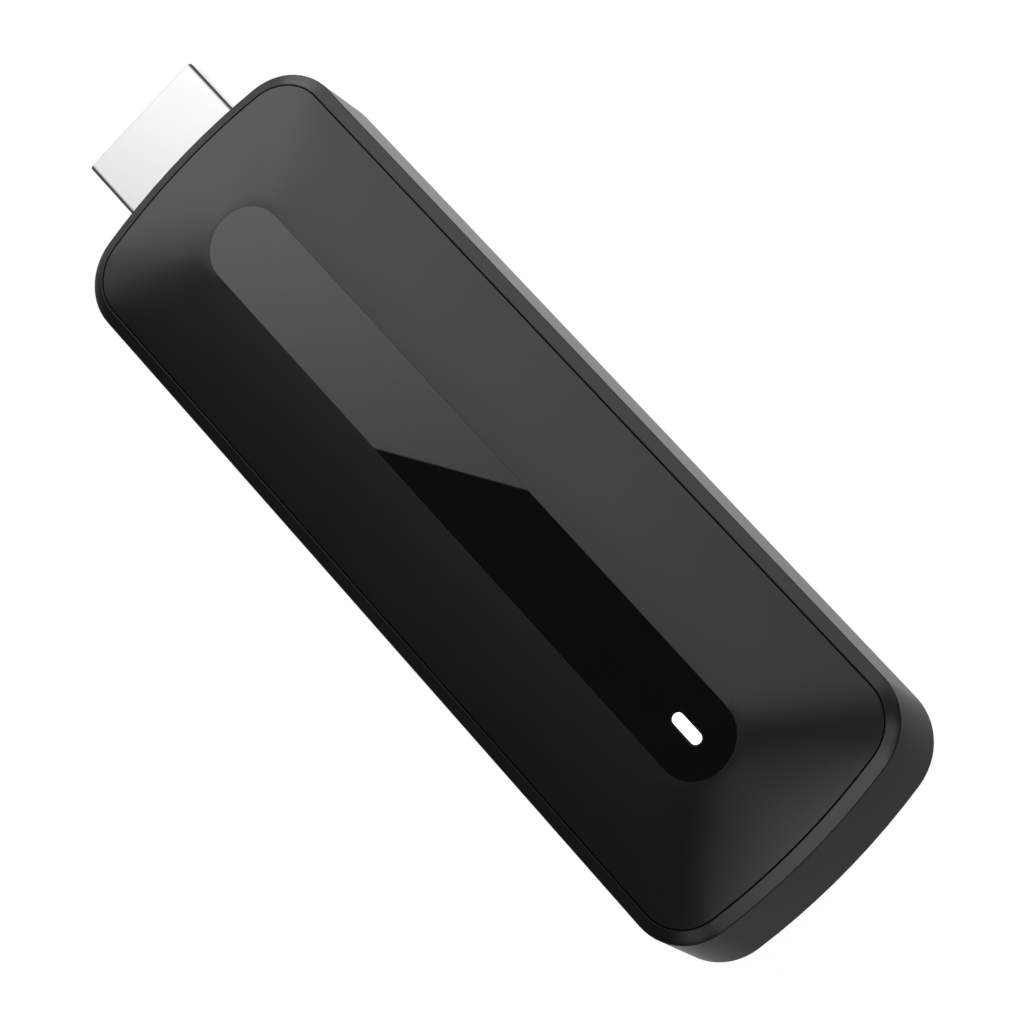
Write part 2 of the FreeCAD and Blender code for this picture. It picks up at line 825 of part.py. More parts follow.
def top_cover():
    """The crowned lid: skirt, roof, inlay recess, openings and snap hooks."""
    piece = Piece("top_cover")
    margin = s.inlay_gap + s.inlay_edge
    piece.pad(piece.on("XY", s.ledge_height).outline(cover_edge), rim_top - s.ledge_height)
    eaves = piece.on("XY", rim_top).outline(cover_edge)
    piece.loft("AdditiveLoft", eaves, piece.on("XY", crown_top).plateau(margin))
    hollow = piece.on("XY", s.ledge_height).outline(skirt_inner)
    piece.pocket(hollow, roof_spring - s.ledge_height, 1)
    spring = piece.on("XY", roof_spring).outline(skirt_inner)
    piece.loft("SubtractiveLoft", spring, piece.on("XY", roof_under).plateau(margin))

    recess = piece.on("XY", crown_top).slot(s.inlay_shift, 0, s.inlay_length + 2 * s.inlay_gap,
                                            s.inlay_width + 2 * s.inlay_gap)
    piece.pocket(recess, s.inlay_thick + s.glue_thick, -1)
    openings = piece.on("XY", recess_bottom)
    openings.slot(lamp_x, 0, *lamp_opening)
    openings.rounded(receiver_x, 0, s.receiver_length, s.receiver_width, s.receiver_corner)
    piece.pocket(openings, recess_bottom - roof_under + s.roof_edge, -1)

    outer, inner = half_width - hook_outer, half_width - hook_inner
    root = s.ledge_height + s.hook_root
    section = [
        (inner, root),
        (inner, hook_bottom),
        (outer, hook_bottom),
        (outer + s.barb_out, hook_bottom + s.barb_lead),
        (outer + s.barb_out, hook_bottom + s.barb_height),
        (outer, hook_bottom + s.barb_height),
        (outer, root),
    ]
    for x in hook_places:
        for side in BOTH_SIDES:
            hook = piece.on("YZ", x).polygon([(side * y, z) for y, z in section])
            piece.pad_both(hook, s.hook_width)


def badge_plate():
    """The plain part of the inlay, at the plug end."""
    piece = Piece("badge_plate")
    piece.pad(piece.on("XY", inlay_bottom).half_inlay(-1), s.inlay_thick)


def ir_window():
    """The infrared window: the dark part of the inlay, with the lamp's opening."""
    piece = Piece("ir_window")
    piece.pad(piece.on("XY", inlay_bottom).half_inlay(1), s.inlay_thick)
    opening = piece.on("XY", crown_top).slot(lamp_x, 0, *lamp_opening)
    piece.pocket(opening, s.inlay_thick, -1)


def inlay_adhesive():
    """The thin adhesive sheet under the inlay, open over the lamp and the receiver."""
    piece = Piece("inlay_adhesive")
    sheet_form = piece.on("XY", recess_bottom)
    sheet_form.slot(s.inlay_shift, 0, s.inlay_length - 2 * s.glue_margin,
                    s.inlay_width - 2 * s.glue_margin)
    piece.pad(sheet_form, s.glue_thick)
    openings = piece.on("XY", inlay_bottom)
    openings.slot(lamp_x, 0, s.lamp_length + 2 * s.glue_margin, s.lamp_width + 2 * s.glue_margin)
    openings.rounded(receiver_x, 0, s.receiver_length + s.glue_margin,
                     s.receiver_width + s.glue_margin, s.receiver_corner)
    piece.pocket(openings, s.glue_thick, -1)


def led_light_pipe():
    """The clear pipe that carries the lamp's light up to the inlay."""
    piece = Piece("led_light_pipe")
    head = piece.on("XY", roof_under).slot(lamp_x, 0, s.lamp_length, s.lamp_width)
    piece.pad(head, crown_top - roof_under)
    flange = piece.on("XY", roof_under)
    flange.slot(lamp_x, 0, s.lamp_length + 2 * s.pipe_margin, s.lamp_width + 2 * s.pipe_margin)
    piece.pad(flange, s.pipe_flange, -1)
    foot_top = roof_under - s.pipe_flange
    foot = piece.on("XY", foot_top).slot(lamp_x, 0, s.pipe_foot_length, s.pipe_foot_width)
    piece.pad(foot, foot_top - (board_top + s.led_height + s.pipe_clear), -1)


def plug_section(profile, inset):
    """The plug's outline from its end: upright sides over two slanted lower corners."""
    slope = root(s.plug_shoulder * s.plug_shoulder + s.plug_taper * s.plug_taper)
    shoulder = s.plug_shoulder + inset * (slope - s.plug_shoulder) / s.plug_taper
    taper = s.plug_taper + inset * (slope - s.plug_taper) / s.plug_shoulder
    side = s.plug_width / 2
    low, high = plug_bottom + inset, plug_top - inset
    return profile.polygon([
        (side - taper, low),
        (side - inset, plug_bottom + shoulder),
        (side - inset, high),
        (inset - side, high),
        (inset - side, plug_bottom + shoulder),
        (taper - side, low),
    ])


def plug_shell():
    """The drawn steel shell of the display plug, with an ear each side on the board."""
    piece = Piece("plug_shell")
    piece.pad(plug_section(piece.on("YZ", plug_tip), as_size(0)), plug_rear - plug_tip)
    piece.soften("Fillet", along("X"), Radius=s.plug_round)
    piece.pocket(plug_section(piece.on("YZ", plug_tip), s.plug_sheet), plug_rear - plug_tip, 1)
    latches = piece.on("XY", plug_bottom)
    for side in BOTH_SIDES:
        latches.rounded(plug_tip + s.latch_inset, side * s.latch_apart / 2, s.latch_length,
                        s.latch_width, s.latch_round)
    piece.pocket(latches, s.plug_sheet, 1)
    ears = piece.on("XY", board_top)
    width = s.plug_ear_width + s.plug_sheet
    for side in BOTH_SIDES:
        y = side * (s.plug_width / 2 - s.plug_sheet + width / 2)
        ears.box(plug_rear - s.plug_ear_length / 2, y, s.plug_ear_length, width)
    piece.pad(ears, s.plug_sheet)


def contact_places(count):
    """The places across the plug of one row of its contacts."""
    return row(as_size(0), s.contact_pitch, count)


def plug_insulator():
    """The moulded core of the plug, with its mouth and a channel for each contact."""
    piece = Piece("plug_insulator")
    face = plug_tip + s.insulator_inset
    section = plug_section(piece.on("YZ", face), s.plug_sheet + s.insulator_play)
    piece.pad(section, plug_rear - face)
    mouth = piece.on("YZ", face).box(0, s.plug_middle, s.mouth_width, s.mouth_height)
    piece.pocket(mouth, s.mouth_depth, 1)
    width = s.contact_width + 2 * s.contact_play
    height = s.contact_thick + 2 * s.contact_play
    for side, count in ((1, UPPER_CONTACT_COUNT), (-1, LOWER_CONTACT_COUNT)):
        z = s.plug_middle + side * (contact_face + s.contact_thick / 2)
        channel = piece.on("YZ", face).box(contact_places(count)[0], z, width, height)
        first = piece.pocket(channel, plug_rear - face, 1)
        piece.repeat(first, "Y", s.contact_pitch, count)


def plug_contacts(label, side, count):
    """One row of the plug's contacts, each with its tail on the board."""
    piece = Piece(label)
    step_start = notch_end + s.notch_gap
    step_end = step_start + s.contact_step
    start = plug_tip + s.insulator_inset + s.contact_inset
    tail = notch_end + s.contact_tail
    thick = s.contact_thick
    section = [
        (start, contact_face),
        (start, contact_face + thick),
        (step_start + thick / 2, contact_face + thick),
        (step_end + thick / 2, s.board_thick / 2 + thick),
        (tail, s.board_thick / 2 + thick),
        (tail, s.board_thick / 2),
        (step_end, s.board_thick / 2),
        (step_start, contact_face),
    ]
    strip = piece.on("XZ", contact_places(count)[0])
    strip.polygon([(x, s.plug_middle + side * z) for x, z in section])
    first = piece.pad_both(strip, s.contact_width)
    piece.repeat(first, "Y", s.contact_pitch, count)


def main_board():
    """The circuit board, notched for the plug and the power inlet."""
    piece = Piece("main_board")
    piece.pad(piece.on("XY", board_bottom).outline(board_inset), s.board_thick)
    cuts = piece.on("XY", board_top)
    cuts.box((notch_end - half_length) / 2, 0, notch_end + half_length, s.plug_width + 2 * s.plug_gap)
    end = inlet_rear + s.inlet_notch_gap
    cuts.box(s.inlet_x, (end - half_width) / 2, s.inlet_width + 2 * s.inlet_notch_gap,
             end + half_width)
    for x, y in screw_places:
        cuts.circle(x, y, s.board_hole)
    piece.pocket(cuts, s.board_thick, -1)


def board_screws():
    """The screws that hold the board down on its bosses."""
    piece = Piece("board_screws")
    heads = piece.on("XY", board_top)
    shanks = piece.on("XY", board_top)
    for x, y in screw_places:
        heads.circle(x, y, s.screw_head)
        shanks.circle(x, y, s.screw_size)
    piece.pad(heads, s.head_height)
    piece.pad(shanks, s.board_thick + s.screw_depth, -1)
    for length, width in ((s.recess_length, s.recess_width), (s.recess_width, s.recess_length)):
        cross = piece.on("XY", board_top + s.head_height)
        for x, y in screw_places:
            cross.box(x, y, length, width)
        piece.pocket(cross, s.recess_depth, -1)


def blocks(label, places, length, width, height, side=1, base=None):
    """Plain rectangular components, standing on the board or hanging under it."""
    piece = Piece(label)
    if base is None:
        base = board_top if side > 0 else board_bottom
    forms = piece.on("XY", base)
    for x, y in places:
        forms.box(x, y, length, width)
    piece.pad(forms, height, side)
    return piece


def chips(label, places, length, width, height, side=1):
    """Packaged chips: a thin base with a moulded cap set in a little from its edge."""
    piece = blocks(label, places, length, width, s.chip_base, side)
    base = board_top if side > 0 else board_bottom
    caps = piece.on("XY", base + side * s.chip_base)
    for x, y in places:
        caps.box(x, y, length - s.chip_step, width - s.chip_step)
    piece.pad(caps, height - s.chip_base, side)


def board_components():
    """What is soldered on both sides of the board."""
    middle = as_size(0)
    chips("soc_chip", [(soc_x, middle)], s.soc_length, s.soc_length, s.soc_height)
    pitch = s.memory_length + s.memory_gap
    memory = [(memory_end - s.memory_length / 2 - i * pitch, middle) for i in range(MEMORY_COUNT)]
    chips("memory_chips", memory, s.memory_length, s.memory_width, s.memory_height)
    chips("flash_chip", [(s.flash_x, middle)], s.flash_length, s.flash_width, s.flash_height, -1)
    power = [(power_x, s.power_y)]
    chips("power_chip", power, s.power_length, s.power_length, s.power_height)

    coil_x = power_x + (s.power_length - s.coil_length) / 2
    coils = [(coil_x, s.coil_near), (coil_x, s.coil_far), (s.inlet_x, s.coil_far)]
    piece = blocks("power_inductors", coils, s.coil_length, s.coil_length, s.coil_height)
    piece.soften("Chamfer", along("Z"), Size=s.coil_break)
    surge_x = notch_end + s.contact_tail + s.surge_gap + s.surge_length / 2
    surges = [(surge_x, y) for y in row(middle, s.surge_pitch, SURGE_COUNT)]
    blocks("surge_arrays", surges, s.surge_length, s.surge_width, s.surge_height)
    corner = [(small_x, row(middle, s.small_pitch, TOP_SMALL_COUNT)[0])]
    piece = blocks("capacitors_top", corner, s.small_width, s.small_length, s.small_height)
    piece.repeat(piece.body.Tip, "Y", s.small_pitch, TOP_SMALL_COUNT)
    corner = [
        (row(soc_x, s.small_pitch, SMALL_COLUMN_COUNT)[0], row(middle, s.small_pitch, SMALL_ROW_COUNT)[0])
    ]
    piece = blocks("capacitors_under", corner, s.small_length, s.small_width, s.small_height, -1)
    piece.repeat_both(piece.body.Tip, s.small_pitch, SMALL_COLUMN_COUNT, SMALL_ROW_COUNT)
    bulk_y = pin_end + s.bulk_gap + s.bulk_width / 2
    bulk = [(x, bulk_y) for x in row(s.inlet_x, s.bulk_pitch, BULK_COUNT)]
    blocks("bulk_capacitors", bulk, s.bulk_length, s.bulk_width, s.bulk_height)

    piece = Piece("main_crystal")
    can = piece.on("XY", board_top)
    can.rounded(soc_x, crystal_y, s.crystal_length, s.crystal_width, s.crystal_round)
    piece.pad(can, s.crystal_height)


def box_can(label, x, length, width, low, high, sheet_thick, side):
    """A drawn sheet can over a component, open towards the board."""
    piece = Piece(label)
    start, end = (low, high) if side > 0 else (high, low)
    piece.pad(piece.on("XY", start).box(x, 0, length, width), high - low, side)
    inside = piece.on("XY", start).box(x, 0, length - 2 * sheet_thick, width - 2 * sheet_thick)
    piece.pocket(inside, high - low - sheet_thick, side)
    return piece


def shielding():
    """The frame and lid over the processor, the thermal pads and the heat spreader."""
    frame = box_can("shield_frame", shield_x, shield_length, shield_width, board_top,
                    shield_top, s.shield_sheet, 1)
    rim = 2 * (s.shield_sheet + s.shield_flange)
    window = frame.on("XY", shield_top)
    window.box(shield_x, 0, shield_length - rim, shield_width - rim)
    frame.pocket(window, s.shield_sheet, -1)
    wider = 2 * (s.lid_play + s.lid_sheet)
    box_can("shield_lid", shield_x, shield_length + wider, shield_width + wider,
            shield_top - s.lid_skirt, lid_top, s.lid_sheet, 1)

    soc_top = board_top + s.soc_height
    blocks("soc_thermal_pad", [(soc_x, 0)], s.soc_pad_side, s.soc_pad_side, shield_top - soc_top,
           base=soc_top)
    blocks("spreader_thermal_pad", [(shield_x, 0)], s.pad_length, s.pad_width, s.pad_thick,
           base=lid_top)
    piece = Piece("heat_spreader")
    plate = piece.on("XY", spreader_bottom)
    plate.rounded(shield_x, 0, s.spreader_length, s.spreader_width, s.spreader_round)
    piece.pad(plate, s.spreader_thick)
    fin = piece.on("XY", spreader_bottom + s.spreader_thick)
    fin.box(shield_x, row(as_size(0), s.fin_pitch, FIN_COUNT)[0], s.spreader_length - 2 * s.fin_margin,
            s.fin_thick)
    first = piece.pad(fin, roof_spring - s.fin_clear - spreader_bottom - s.spreader_thick)
    piece.repeat(first, "Y", s.fin_pitch, FIN_COUNT)


def wireless():
    """The wireless module under the board, and the two antennas at the far end."""
    place = [(s.wireless_x, 0)]
    length = s.wireless_length
    under = board_bottom - s.wireless_board
    blocks("wireless_board", place, length, length, s.wireless_board, -1)
    blocks("wireless_chip", place, s.wireless_chip_length, s.wireless_chip_length,
           s.wireless_chip_height, -1, under)
    can_length = length - 2 * s.wireless_can_step
    box_can("wireless_shield", s.wireless_x, can_length, can_length,
            under - s.wireless_can_height, under, s.wireless_sheet, -1)

    start = half_length - s.antenna_inset
    thick = s.antenna_sheet
    section = [
        (as_size(0), as_size(0)),
        (s.antenna_foot, as_size(0)),
        (s.antenna_foot, thick),
        (thick, thick),
        (thick, s.antenna_height - thick),
        (s.antenna_length, s.antenna_height - thick),
        (s.antenna_length, s.antenna_height),
        (as_size(0), s.antenna_height),
    ]
    for label, side in (("antenna_left", 1), ("antenna_right", -1)):
        piece = Piece(label)
        strip = piece.on("XZ", side * (board_side - s.antenna_edge - s.antenna_width / 2))
        strip.polygon([(start + x, board_top + z) for x, z in section])
        piece.pad_both(strip, s.antenna_width)


def receiver_and_lamp():
    """The infrared receiver with its shield, and the status lamp."""
    piece = blocks("ir_receiver", [(receiver_x, 0)], s.receiver_length, s.receiver_width,
                   s.receiver_height)
    lens = piece.on("XY", board_top + s.receiver_height).circle(receiver_x, 0, s.lens_width)
    piece.pad(lens, s.lens_height)
    lens_top = board_top + s.receiver_height + s.lens_height
    piece.soften("Fillet", level("Z", lens_top), Radius=s.lens_round)

    piece = Piece("ir_receiver_shield")
    outer = 2 * (s.receiver_play + s.receiver_sheet)
    wall = piece.on("XY", board_top)
    wall.box(receiver_x, 0, s.receiver_length + outer, s.receiver_width + outer)
    piece.pad(wall, s.receiver_can_height)
    inside = piece.on("XY", board_top)
    inside.box(receiver_x, 0, s.receiver_length + 2 * s.receiver_play,
               s.receiver_width + 2 * s.receiver_play)
    piece.pocket(inside, s.receiver_can_height, 1)
    blocks("status_led", [(lamp_x, 0)], s.led_length, s.led_width, s.led_height)


def power_inlet():
    """The power inlet, set in a notch of the board at its mid-plane."""
    shell = Piece("inlet_shell")
    outer = shell.on("XZ", inlet_front)
    outer.slot(s.inlet_x, s.plug_middle, s.inlet_width, s.inlet_height)
    shell.pad(outer, s.inlet_depth)
    inner = shell.on("XZ", inlet_front)
    inner.slot(s.inlet_x, s.plug_middle, s.inlet_width - 2 * s.inlet_sheet,
               s.inlet_height - 2 * s.inlet_sheet)
    shell.pocket(inner, s.inlet_depth, 1)
    ears = shell.on("XY", board_top)
    for side in BOTH_SIDES:
        x = s.inlet_x + side * (s.inlet_width / 2 - s.inlet_sheet + s.inlet_ear_width / 2)
        for i in range(INLET_EAR_COUNT):
            y = inlet_front + s.inlet_ear_front + s.inlet_ear_length / 2 + i * s.inlet_ear_pitch
            ears.box(x, y, s.inlet_ear_width, s.inlet_ear_length)
    shell.pad(ears, s.inlet_sheet)

    core = Piece("inlet_tongue")
    core_front = inlet_rear - s.inlet_base
    inset = 2 * (s.inlet_sheet + s.inlet_play)
    base = core.on("XZ", core_front)
    base.slot(s.inlet_x, s.plug_middle, s.inlet_width - inset, s.inlet_height - inset)
    core.pad(base, s.inlet_base)
    tongue_front = inlet_front + s.tongue_inset
    tongue = core.on("XZ", tongue_front)
    tongue.box(s.inlet_x, s.plug_middle, s.tongue_width, s.tongue_thick)
    core.pad(tongue, core_front - tongue_front)
    height = s.pin_thick + s.contact_play
    for side in BOTH_SIDES:
        z = s.plug_middle + side * (s.tongue_thick + height) / 2
        channel = core.on("XZ", core_front)
        first_x = row(s.inlet_x, s.pin_pitch, PIN_COUNT)[0]
        channel.box(first_x, z, s.pin_width + 2 * s.contact_play, height)
        first = core.pocket(channel, s.inlet_base, 1)
        core.repeat(first, "X", s.pin_pitch, PIN_COUNT)

    low, high = s.tongue_thick / 2, s.board_thick / 2
    step = inlet_rear + s.pin_step
    section = [
        (tongue_front + s.pin_inset, low),
        (inlet_rear, low),
        (step, high),
        (pin_end, high),
        (pin_end, high + s.pin_thick),
        (step, high + s.pin_thick),
        (inlet_rear, low + s.pin_thick),
        (tongue_front + s.pin_inset, low + s.pin_thick),
    ]
    for label, side in (("inlet_contacts_upper", 1), ("inlet_contacts_lower", -1)):
        pins = Piece(label)
        strip = pins.on("YZ", row(s.inlet_x, s.pin_pitch, PIN_COUNT)[0])
        strip.polygon([(y, s.plug_middle + side * z) for y, z in section])
        first = pins.pad_both(strip, s.pin_width)
        pins.repeat(first, "X", s.pin_pitch, PIN_COUNT)


def reset_button():
    """The reset button's cap: face, retaining flange and nub."""
    cap = Piece("reset_button")
    face_y = s.button_sunk - half_width
    face = cap.on("XZ", face_y).slot(s.button_x, button_z, s.button_length, s.button_width)
    cap.pad(face, flange_front - face_y)
    cap.soften("Fillet", level("Y", face_y), Radius=s.button_round)
    flange = cap.on("XZ", flange_front)
    flange.slot(s.button_x, button_z, s.button_length + 2 * s.button_margin,
                s.button_width + 2 * s.button_margin)
    cap.pad(flange, s.button_flange)
    nub_front = flange_front + s.button_flange
    nub = cap.on("XZ", nub_front).box(s.button_x, button_z, s.nub_length, s.nub_width)
    cap.pad(nub, plunger_front - nub_front)


def reset_switch():
    """The side-pressed switch behind the button: body, plunger, dome spring and cover."""
    body = Piece("reset_switch_body")
    height = s.switch_height
    form = body.on("XZ", switch_front).box(s.button_x, board_top + height / 2, s.switch_length, height)
    body.pad(form, s.switch_depth)
    play = 2 * s.plunger_play
    pocket = body.on("XZ", switch_front)
    pocket.box(s.button_x, button_z, s.plunger_length + play, s.plunger_width + play)
    body.pocket(pocket, switch_pocket - switch_front, 1)

    plunger = Piece("reset_switch_plunger")
    form = plunger.on("XZ", plunger_front)
    form.box(s.button_x, button_z, s.plunger_length, s.plunger_width)
    plunger.pad(form, plunger_rear - plunger_front)

    dome = Piece("reset_switch_dome")
    form = dome.on("XZ", switch_pocket - s.dome_thick)
    form.slot(s.button_x, button_z, s.dome_length, s.dome_width)
    dome.pad(form, s.dome_thick)

    cover = Piece("reset_switch_cover")
    inner = s.switch_length / 2
    outer = inner + s.cover_sheet
    low, under = board_top + s.cover_foot, board_top + height
    top = under + s.cover_sheet
    section = [(inner, low), (outer, low), (outer, top), (-outer, top)]
    section += [(-outer, low), (-inner, low), (-inner, under), (inner, under)]
    form = cover.on("XZ", switch_front + s.cover_inset)
    form.polygon([(s.button_x + x, z) for x, z in section])
    cover.pad(form, s.switch_depth - 2 * s.cover_inset)


def rating_label():
    """The blank label in the recess under the casing."""
    piece = Piece("rating_label")
    form = piece.on("XY", s.label_recess - s.label_thick)
    form.rounded(s.label_x, 0, s.label_length, s.label_width, s.label_round)
    piece.pad(form, s.label_thick)


lower_housing()
top_cover()
badge_plate()
ir_window()
inlay_adhesive()
led_light_pipe()
plug_shell()
plug_insulator()
plug_contacts("plug_contacts_upper", 1, UPPER_CONTACT_COUNT)
plug_contacts("plug_contacts_lower", -1, LOWER_CONTACT_COUNT)
main_board()
board_screws()
board_components()
shielding()
wireless()
receiver_and_lamp()
power_inlet()
reset_button()
reset_switch()
rating_label()
doc.recompute()

for item in doc.Objects:
    if "Invalid" in item.State or "Error" in item.State:
        raise ValueError("%s failed: %s" % (item.Label, item.State))
for node in nodes:
    if node.Shape.isNull() or not node.Shape.isValid():
        raise ValueError("%s has no valid shape" % node.Label)

os.makedirs("parts", exist_ok=True)
for node in nodes:
    node.Shape.exportStep("parts/%s.step" % node.Label)
box = Part.makeCompound([node.Shape for node in nodes]).BoundBox
print("%d sub-parts, %.2f x %.2f x %.2f mm" % (len(nodes), box.XLength, box.YLength, box.ZLength))
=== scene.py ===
# %% [markdown]
# # A streaming media stick
#
# The object is a small black casing with a display plug at one end. A crowned lid sits in a tray,
# and a pill-shaped inlay runs down the middle of the lid: one half is plain grey, the other is a
# dark infrared window with a lit slot in it.
#
# The CAD model gives the sizes. This script loads it as a fixed frame, dresses it with better
# surfaces and finishes, and lights it. The plain materials that come with the frame are removed
# first, because every node gets a finish of its own. All lengths in the mesh work below are in
# millimetres, and each finished mesh is scaled to metres at the end, because numbers that are near
# one are easier to read.

# %% Load the frame
import json
import math

import bmesh
import bpy
from mathutils import Matrix, Quaternion, Vector


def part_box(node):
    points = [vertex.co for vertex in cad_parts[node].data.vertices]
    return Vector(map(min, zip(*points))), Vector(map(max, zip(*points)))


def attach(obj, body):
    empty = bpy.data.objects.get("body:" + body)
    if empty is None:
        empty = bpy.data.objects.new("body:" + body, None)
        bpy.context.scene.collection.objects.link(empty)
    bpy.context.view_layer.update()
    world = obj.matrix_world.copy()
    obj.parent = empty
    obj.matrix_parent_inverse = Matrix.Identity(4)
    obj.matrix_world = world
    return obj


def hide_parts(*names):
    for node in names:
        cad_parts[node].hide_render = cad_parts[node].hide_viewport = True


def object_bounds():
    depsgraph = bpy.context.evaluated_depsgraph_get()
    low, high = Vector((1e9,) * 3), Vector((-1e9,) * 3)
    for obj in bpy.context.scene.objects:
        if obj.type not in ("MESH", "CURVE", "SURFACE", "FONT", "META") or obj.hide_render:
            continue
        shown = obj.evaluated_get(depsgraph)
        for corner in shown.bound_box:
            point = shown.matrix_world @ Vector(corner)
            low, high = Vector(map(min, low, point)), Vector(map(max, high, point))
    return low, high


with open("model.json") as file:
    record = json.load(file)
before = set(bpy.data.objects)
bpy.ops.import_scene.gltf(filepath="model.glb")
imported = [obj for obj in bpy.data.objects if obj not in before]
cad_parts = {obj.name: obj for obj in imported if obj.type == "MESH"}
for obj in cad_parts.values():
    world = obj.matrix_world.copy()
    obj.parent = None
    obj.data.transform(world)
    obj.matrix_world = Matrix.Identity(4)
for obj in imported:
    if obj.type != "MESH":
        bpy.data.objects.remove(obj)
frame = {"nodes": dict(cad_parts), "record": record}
nodes = frame["nodes"]
cad_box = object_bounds()
for plain in list(bpy.data.materials):
    bpy.data.materials.remove(plain)
MM = 0.001

# %% [markdown]
# ## The camera
#
# A picture of a product this small is taken from some way off with a long lens, so that the far end
# is hardly smaller than the near one. The camera could be placed by eye, but here its place, its
# aim and its roll were worked out from the corners of the object in the picture. The roll is large:
# the camera was turned so that the stick lies along the picture's diagonal.

# %% Place the camera
def add_object(name, data):
    """Put a mesh, a lamp or a camera in the scene, at the origin."""
    item = bpy.data.objects.new(name, data)
    bpy.context.scene.collection.objects.link(item)
    return item


camera_place = Vector((0.21006, 0.05293, 0.39005))
camera_aim = Vector((0.00684, 0.00068, 0.00599))
camera_roll = math.radians(-58.796)

view = bpy.data.cameras.new("product_camera")
view.sensor_width = 36
view.lens = 171.35
view.clip_start = 0.01
camera = add_object("product_camera", view)
level_turn = (camera_aim - camera_place).to_track_quat("-Z", "Y")
camera.location = camera_place
camera.rotation_euler = (level_turn @ Quaternion((0, 0, 1), camera_roll)).to_euler()
bpy.context.scene.camera = camera
print("The camera stands %.0f mm from the casing" % ((camera_aim - camera_place).length / MM))

# %% [markdown]
# ## Shader sums
#
# A finish is a small calculation: a fine grain, a little more or less gloss, a darker patch. Wiring
# Math nodes one by one hides that calculation, so a small class wraps a node's output and lets
# plain sums be written in Python. Each sum adds its own Math node.

# %% A node output that understands arithmetic
class Channel:
    """One output of a shader node. Sums with it add Math nodes."""

    def __init__(self, tree, socket):
        self.tree = tree
        self.socket = socket

    def maths(self, operation, first, second):
        node = self.tree.nodes.new("ShaderNodeMath")
        node.operation = operation
        for socket, value in zip(node.inputs, (first, second)):
            connect(self.tree, socket, value)
        return Channel(self.tree, node.outputs[0])

    def beside(self, name):
        """Another output of the same node."""
        return Channel(self.tree, self.socket.node.outputs[name])

    def __add__(self, other):
        return self.maths("ADD", self, other)

    def __sub__(self, other):
        return self.maths("SUBTRACT", self, other)

    def __mul__(self, other):
        return self.maths("MULTIPLY", self, other)

    def __lt__(self, other):
        return self.maths("LESS_THAN", self, other)

    def __gt__(self, other):
        return self.maths("GREATER_THAN", self, other)

    def __rsub__(self, other):
        return self.maths("SUBTRACT", other, self)

    __radd__ = __add__
    __rmul__ = __mul__


def connect(tree, socket, value):
    """Give an input a link or a plain value."""
    if isinstance(value, Channel):
        tree.links.new(value.socket, socket)
    else:
        socket.default_value = value


print("A sum with a node's output adds a Math node")

# %% [markdown]
# ## Adding any node
#
# A finish is a net of nodes, and so is the light of the room. Each node could be added in its own
# few lines, but the work is always the same: choose the type, change the settings, then give the
# inputs values or links. One method does that for every node. The short ones after it are the
# patterns that come back often: a place, a distance, a gentle ramp, cloudy noise, a blend.

# %% One way to add any node
class Wiring:
    """The nodes of a material or a world: one way to add any node, and the patterns used here."""

    def __init__(self, owner):
        owner.use_nodes = True
        self.tree = owner.node_tree

    def node(self, kind, settings=None, values=None, output=0):
        """Add a node: its settings first, then its inputs. Return one of its outputs."""
        node = self.tree.nodes.new(kind)
        for name, value in (settings or {}).items():
            setattr(node, name, value)
        for name, value in (values or {}).items():
            socket = next(item for item in node.inputs if name in (item.identifier, item.name))
            connect(self.tree, socket, value)
        found = [item for item in node.outputs if output in (item.identifier, item.name)]
        return Channel(self.tree, found[0] if found else node.outputs[output])

    def place(self, stretch=(1, 1, 1), centre=(0, 0, 0)):
        """Where a point is on the piece, from a centre in metres, and stretched."""
        spot = self.node("ShaderNodeTexCoord", output="Object")
        moved = self.node("ShaderNodeVectorMath", {"operation": "SUBTRACT"},
                          {"Vector": spot, "Vector_001": centre})
        return self.node("ShaderNodeVectorMath", {"operation": "MULTIPLY"},
                         {"Vector": moved, "Vector_001": stretch})

    def along(self, axis, centre=(0, 0, 0)):
        """How far a point lies along one axis from a centre, in metres."""
        return self.node("ShaderNodeSeparateXYZ", {}, {"Vector": self.place(centre=centre)}, axis)

    def distance(self, centre, stretch=(1, 1, 1)):
        """How far a point lies from a centre, in metres. A stretch of 0 ignores an axis."""
        return self.node("ShaderNodeVectorMath", {"operation": "LENGTH"},
                         {"Vector": self.place(stretch, centre)}, "Value")

    def ramp(self, value, start, end):
        """A share that climbs gently from 0 at the start to 1 at the end."""
        return self.node("ShaderNodeMapRange", {"interpolation_type": "SMOOTHSTEP"},
                         {"Value": value, "From Min": start, "From Max": end})

    def noise(self, scale, detail=2.0, stretch=(1, 1, 1)):
        """Soft cloudy noise from 0 to 1, with about scale lumps to the metre."""
        return self.node("ShaderNodeTexNoise", {"noise_dimensions": "3D"},
                         {"Vector": self.place(stretch), "Scale": scale, "Detail": detail})

    def mix(self, first, second, share):
        """Blend two colours."""
        return self.node("ShaderNodeMix", {"data_type": "RGBA"},
                         {"A_Color": first, "B_Color": second, "Factor_Float": share},
                         output="Result_Color")

    def surface(self, output, shader):
        """Send a shader to the surface of a material or a world."""
        connect(self.tree, self.tree.nodes[output].inputs["Surface"], shader)


print("Patterns at hand:", [name for name in vars(Wiring) if not name.startswith("_")])

# %% [markdown]
# ## A finish
#
# Every finish here starts from one Principled shader. What is the same all over, such as the sheen
# of the clear coat, is set on the shader's own sockets. What changes over the surface is fed in.
# Patterns read Object coordinates, which stay with the piece when it moves and are in metres.

